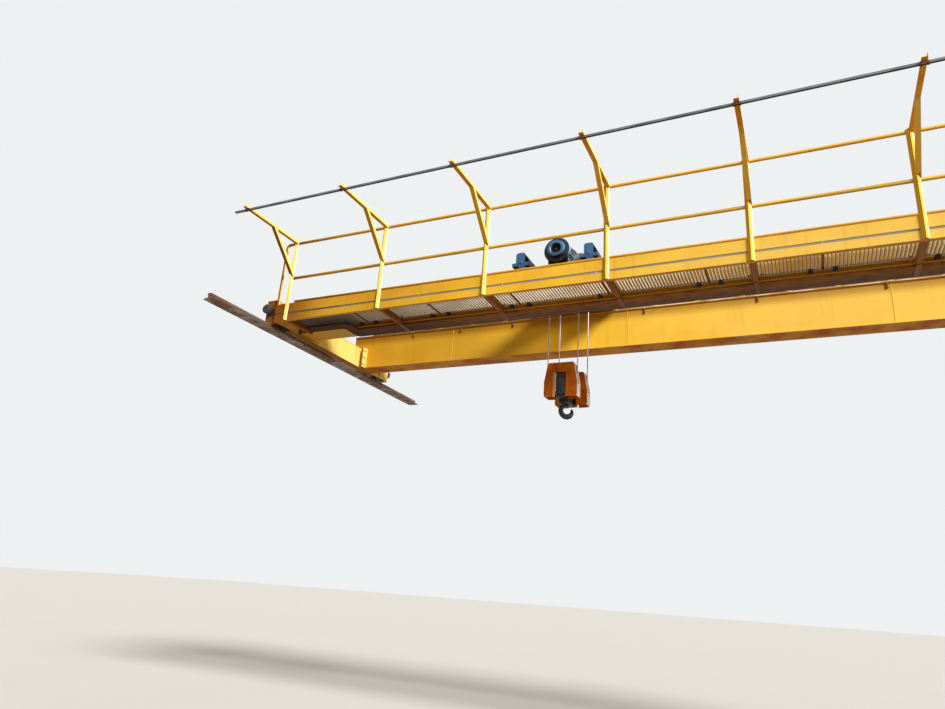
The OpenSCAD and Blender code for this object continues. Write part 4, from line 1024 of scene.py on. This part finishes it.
def make_rope_falls():
    """The four falls of laid wire rope, from the block up to the drum."""
    p = Piece(16)
    for x in (-SHEAVE_R, SHEAVE_R):
        for y in (-SHEAVE_GAP / 2, SHEAVE_GAP / 2):
            foot = BLOCK + X * x + Y * y
            head = Vector((foot.x, foot.y, DRUM_Z))
            steps = 220
            p.tube([foot.lerp(head, i / steps) for i in range(steps + 1)], ROPE_R, 12, lobes=6)
    falls = p.done("rope_falls", None, "rope_wire")
    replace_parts(falls, "hoist_ropes")
    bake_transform(falls)


def make_rope_sockets():
    """Wedge sockets that hold the fixed rope ends on the anchor bar."""
    p = Piece(17)
    for y in (-SHEAVE_GAP / 2, SHEAVE_GAP / 2):
        x = BLOCK.x - SHEAVE_R
        p.turned((x, BLOCK.y + y, DRUM_Z - 0.10), Z, [(0, 0.009), (0.01, 0.013), (0.07, 0.022), (0.10, 0.024)], 14)
        p.nut((x - 0.01, BLOCK.y + y, DRUM_Z + 0.040), Z, 0.018)
    p.done("rope_sockets", "crab", "wheel_steel")


def make_block_details():
    """Bolts of the sheave covers, keeper plates of the axle, and bolts of the yoke plate."""
    p = Piece(18)
    for side in (-1, 1):
        for face in (-1, 1):
            y = BLOCK.y + side * SHEAVE_GAP / 2 + face * 0.075
            for dx, dz in ((-0.205, -0.18), (0.205, -0.18), (-0.195, 0.04), (0.195, 0.04),
                           (-0.12, 0.215), (0.12, 0.215), (-0.105, -0.18), (0.105, -0.18)):
                p.bolt((BLOCK.x + dx, y, BLOCK.z + dz), Y * face, 0.007)
    p.done("cover_bolts", "hook_block", "orange_paint")
    p = Piece(19)
    for side in (-1, 1):
        end = BLOCK.y + side * (SHEAVE_GAP / 2 + 0.042)
        p.plate((BLOCK.x - 0.048, min(end, end + side * 0.008), BLOCK.z + 0.036),
                (BLOCK.x + 0.048, max(end, end + side * 0.008), BLOCK.z + 0.058))
        for dx in (-0.034, 0.034):
            p.bolt((BLOCK.x + dx, end + side * 0.008, BLOCK.z + 0.047), Y * side, 0.007)
    for dx in (-0.045, 0.045):
        for y in (-0.125, 0.125):
            p.bolt((BLOCK.x + dx, BLOCK.y + y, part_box("crosshead")[0].z), -Z, 0.009)
    p.done("block_keepers", "hook_block", "black_steel")


make_rope_falls()
make_rope_on_sheaves()
make_rope_on_drum()
make_rope_sockets()
make_posts_and_arms()
make_festoon_rail()
make_grating()
make_hoist_motor()
make_sheave_covers()
make_terminal_box()
make_girder_welds()
make_girder_lugs()
make_joint_bolts()
make_rail_clips()
make_walkway_clips()
make_handrail_welds()
make_festoon_hangers()
make_carriage_details()
make_drive_details()
make_crab_details()
make_block_details()

bpy.context.scene.view_settings.view_transform = "Standard"
make_camera()
make_lights()
make_floor()
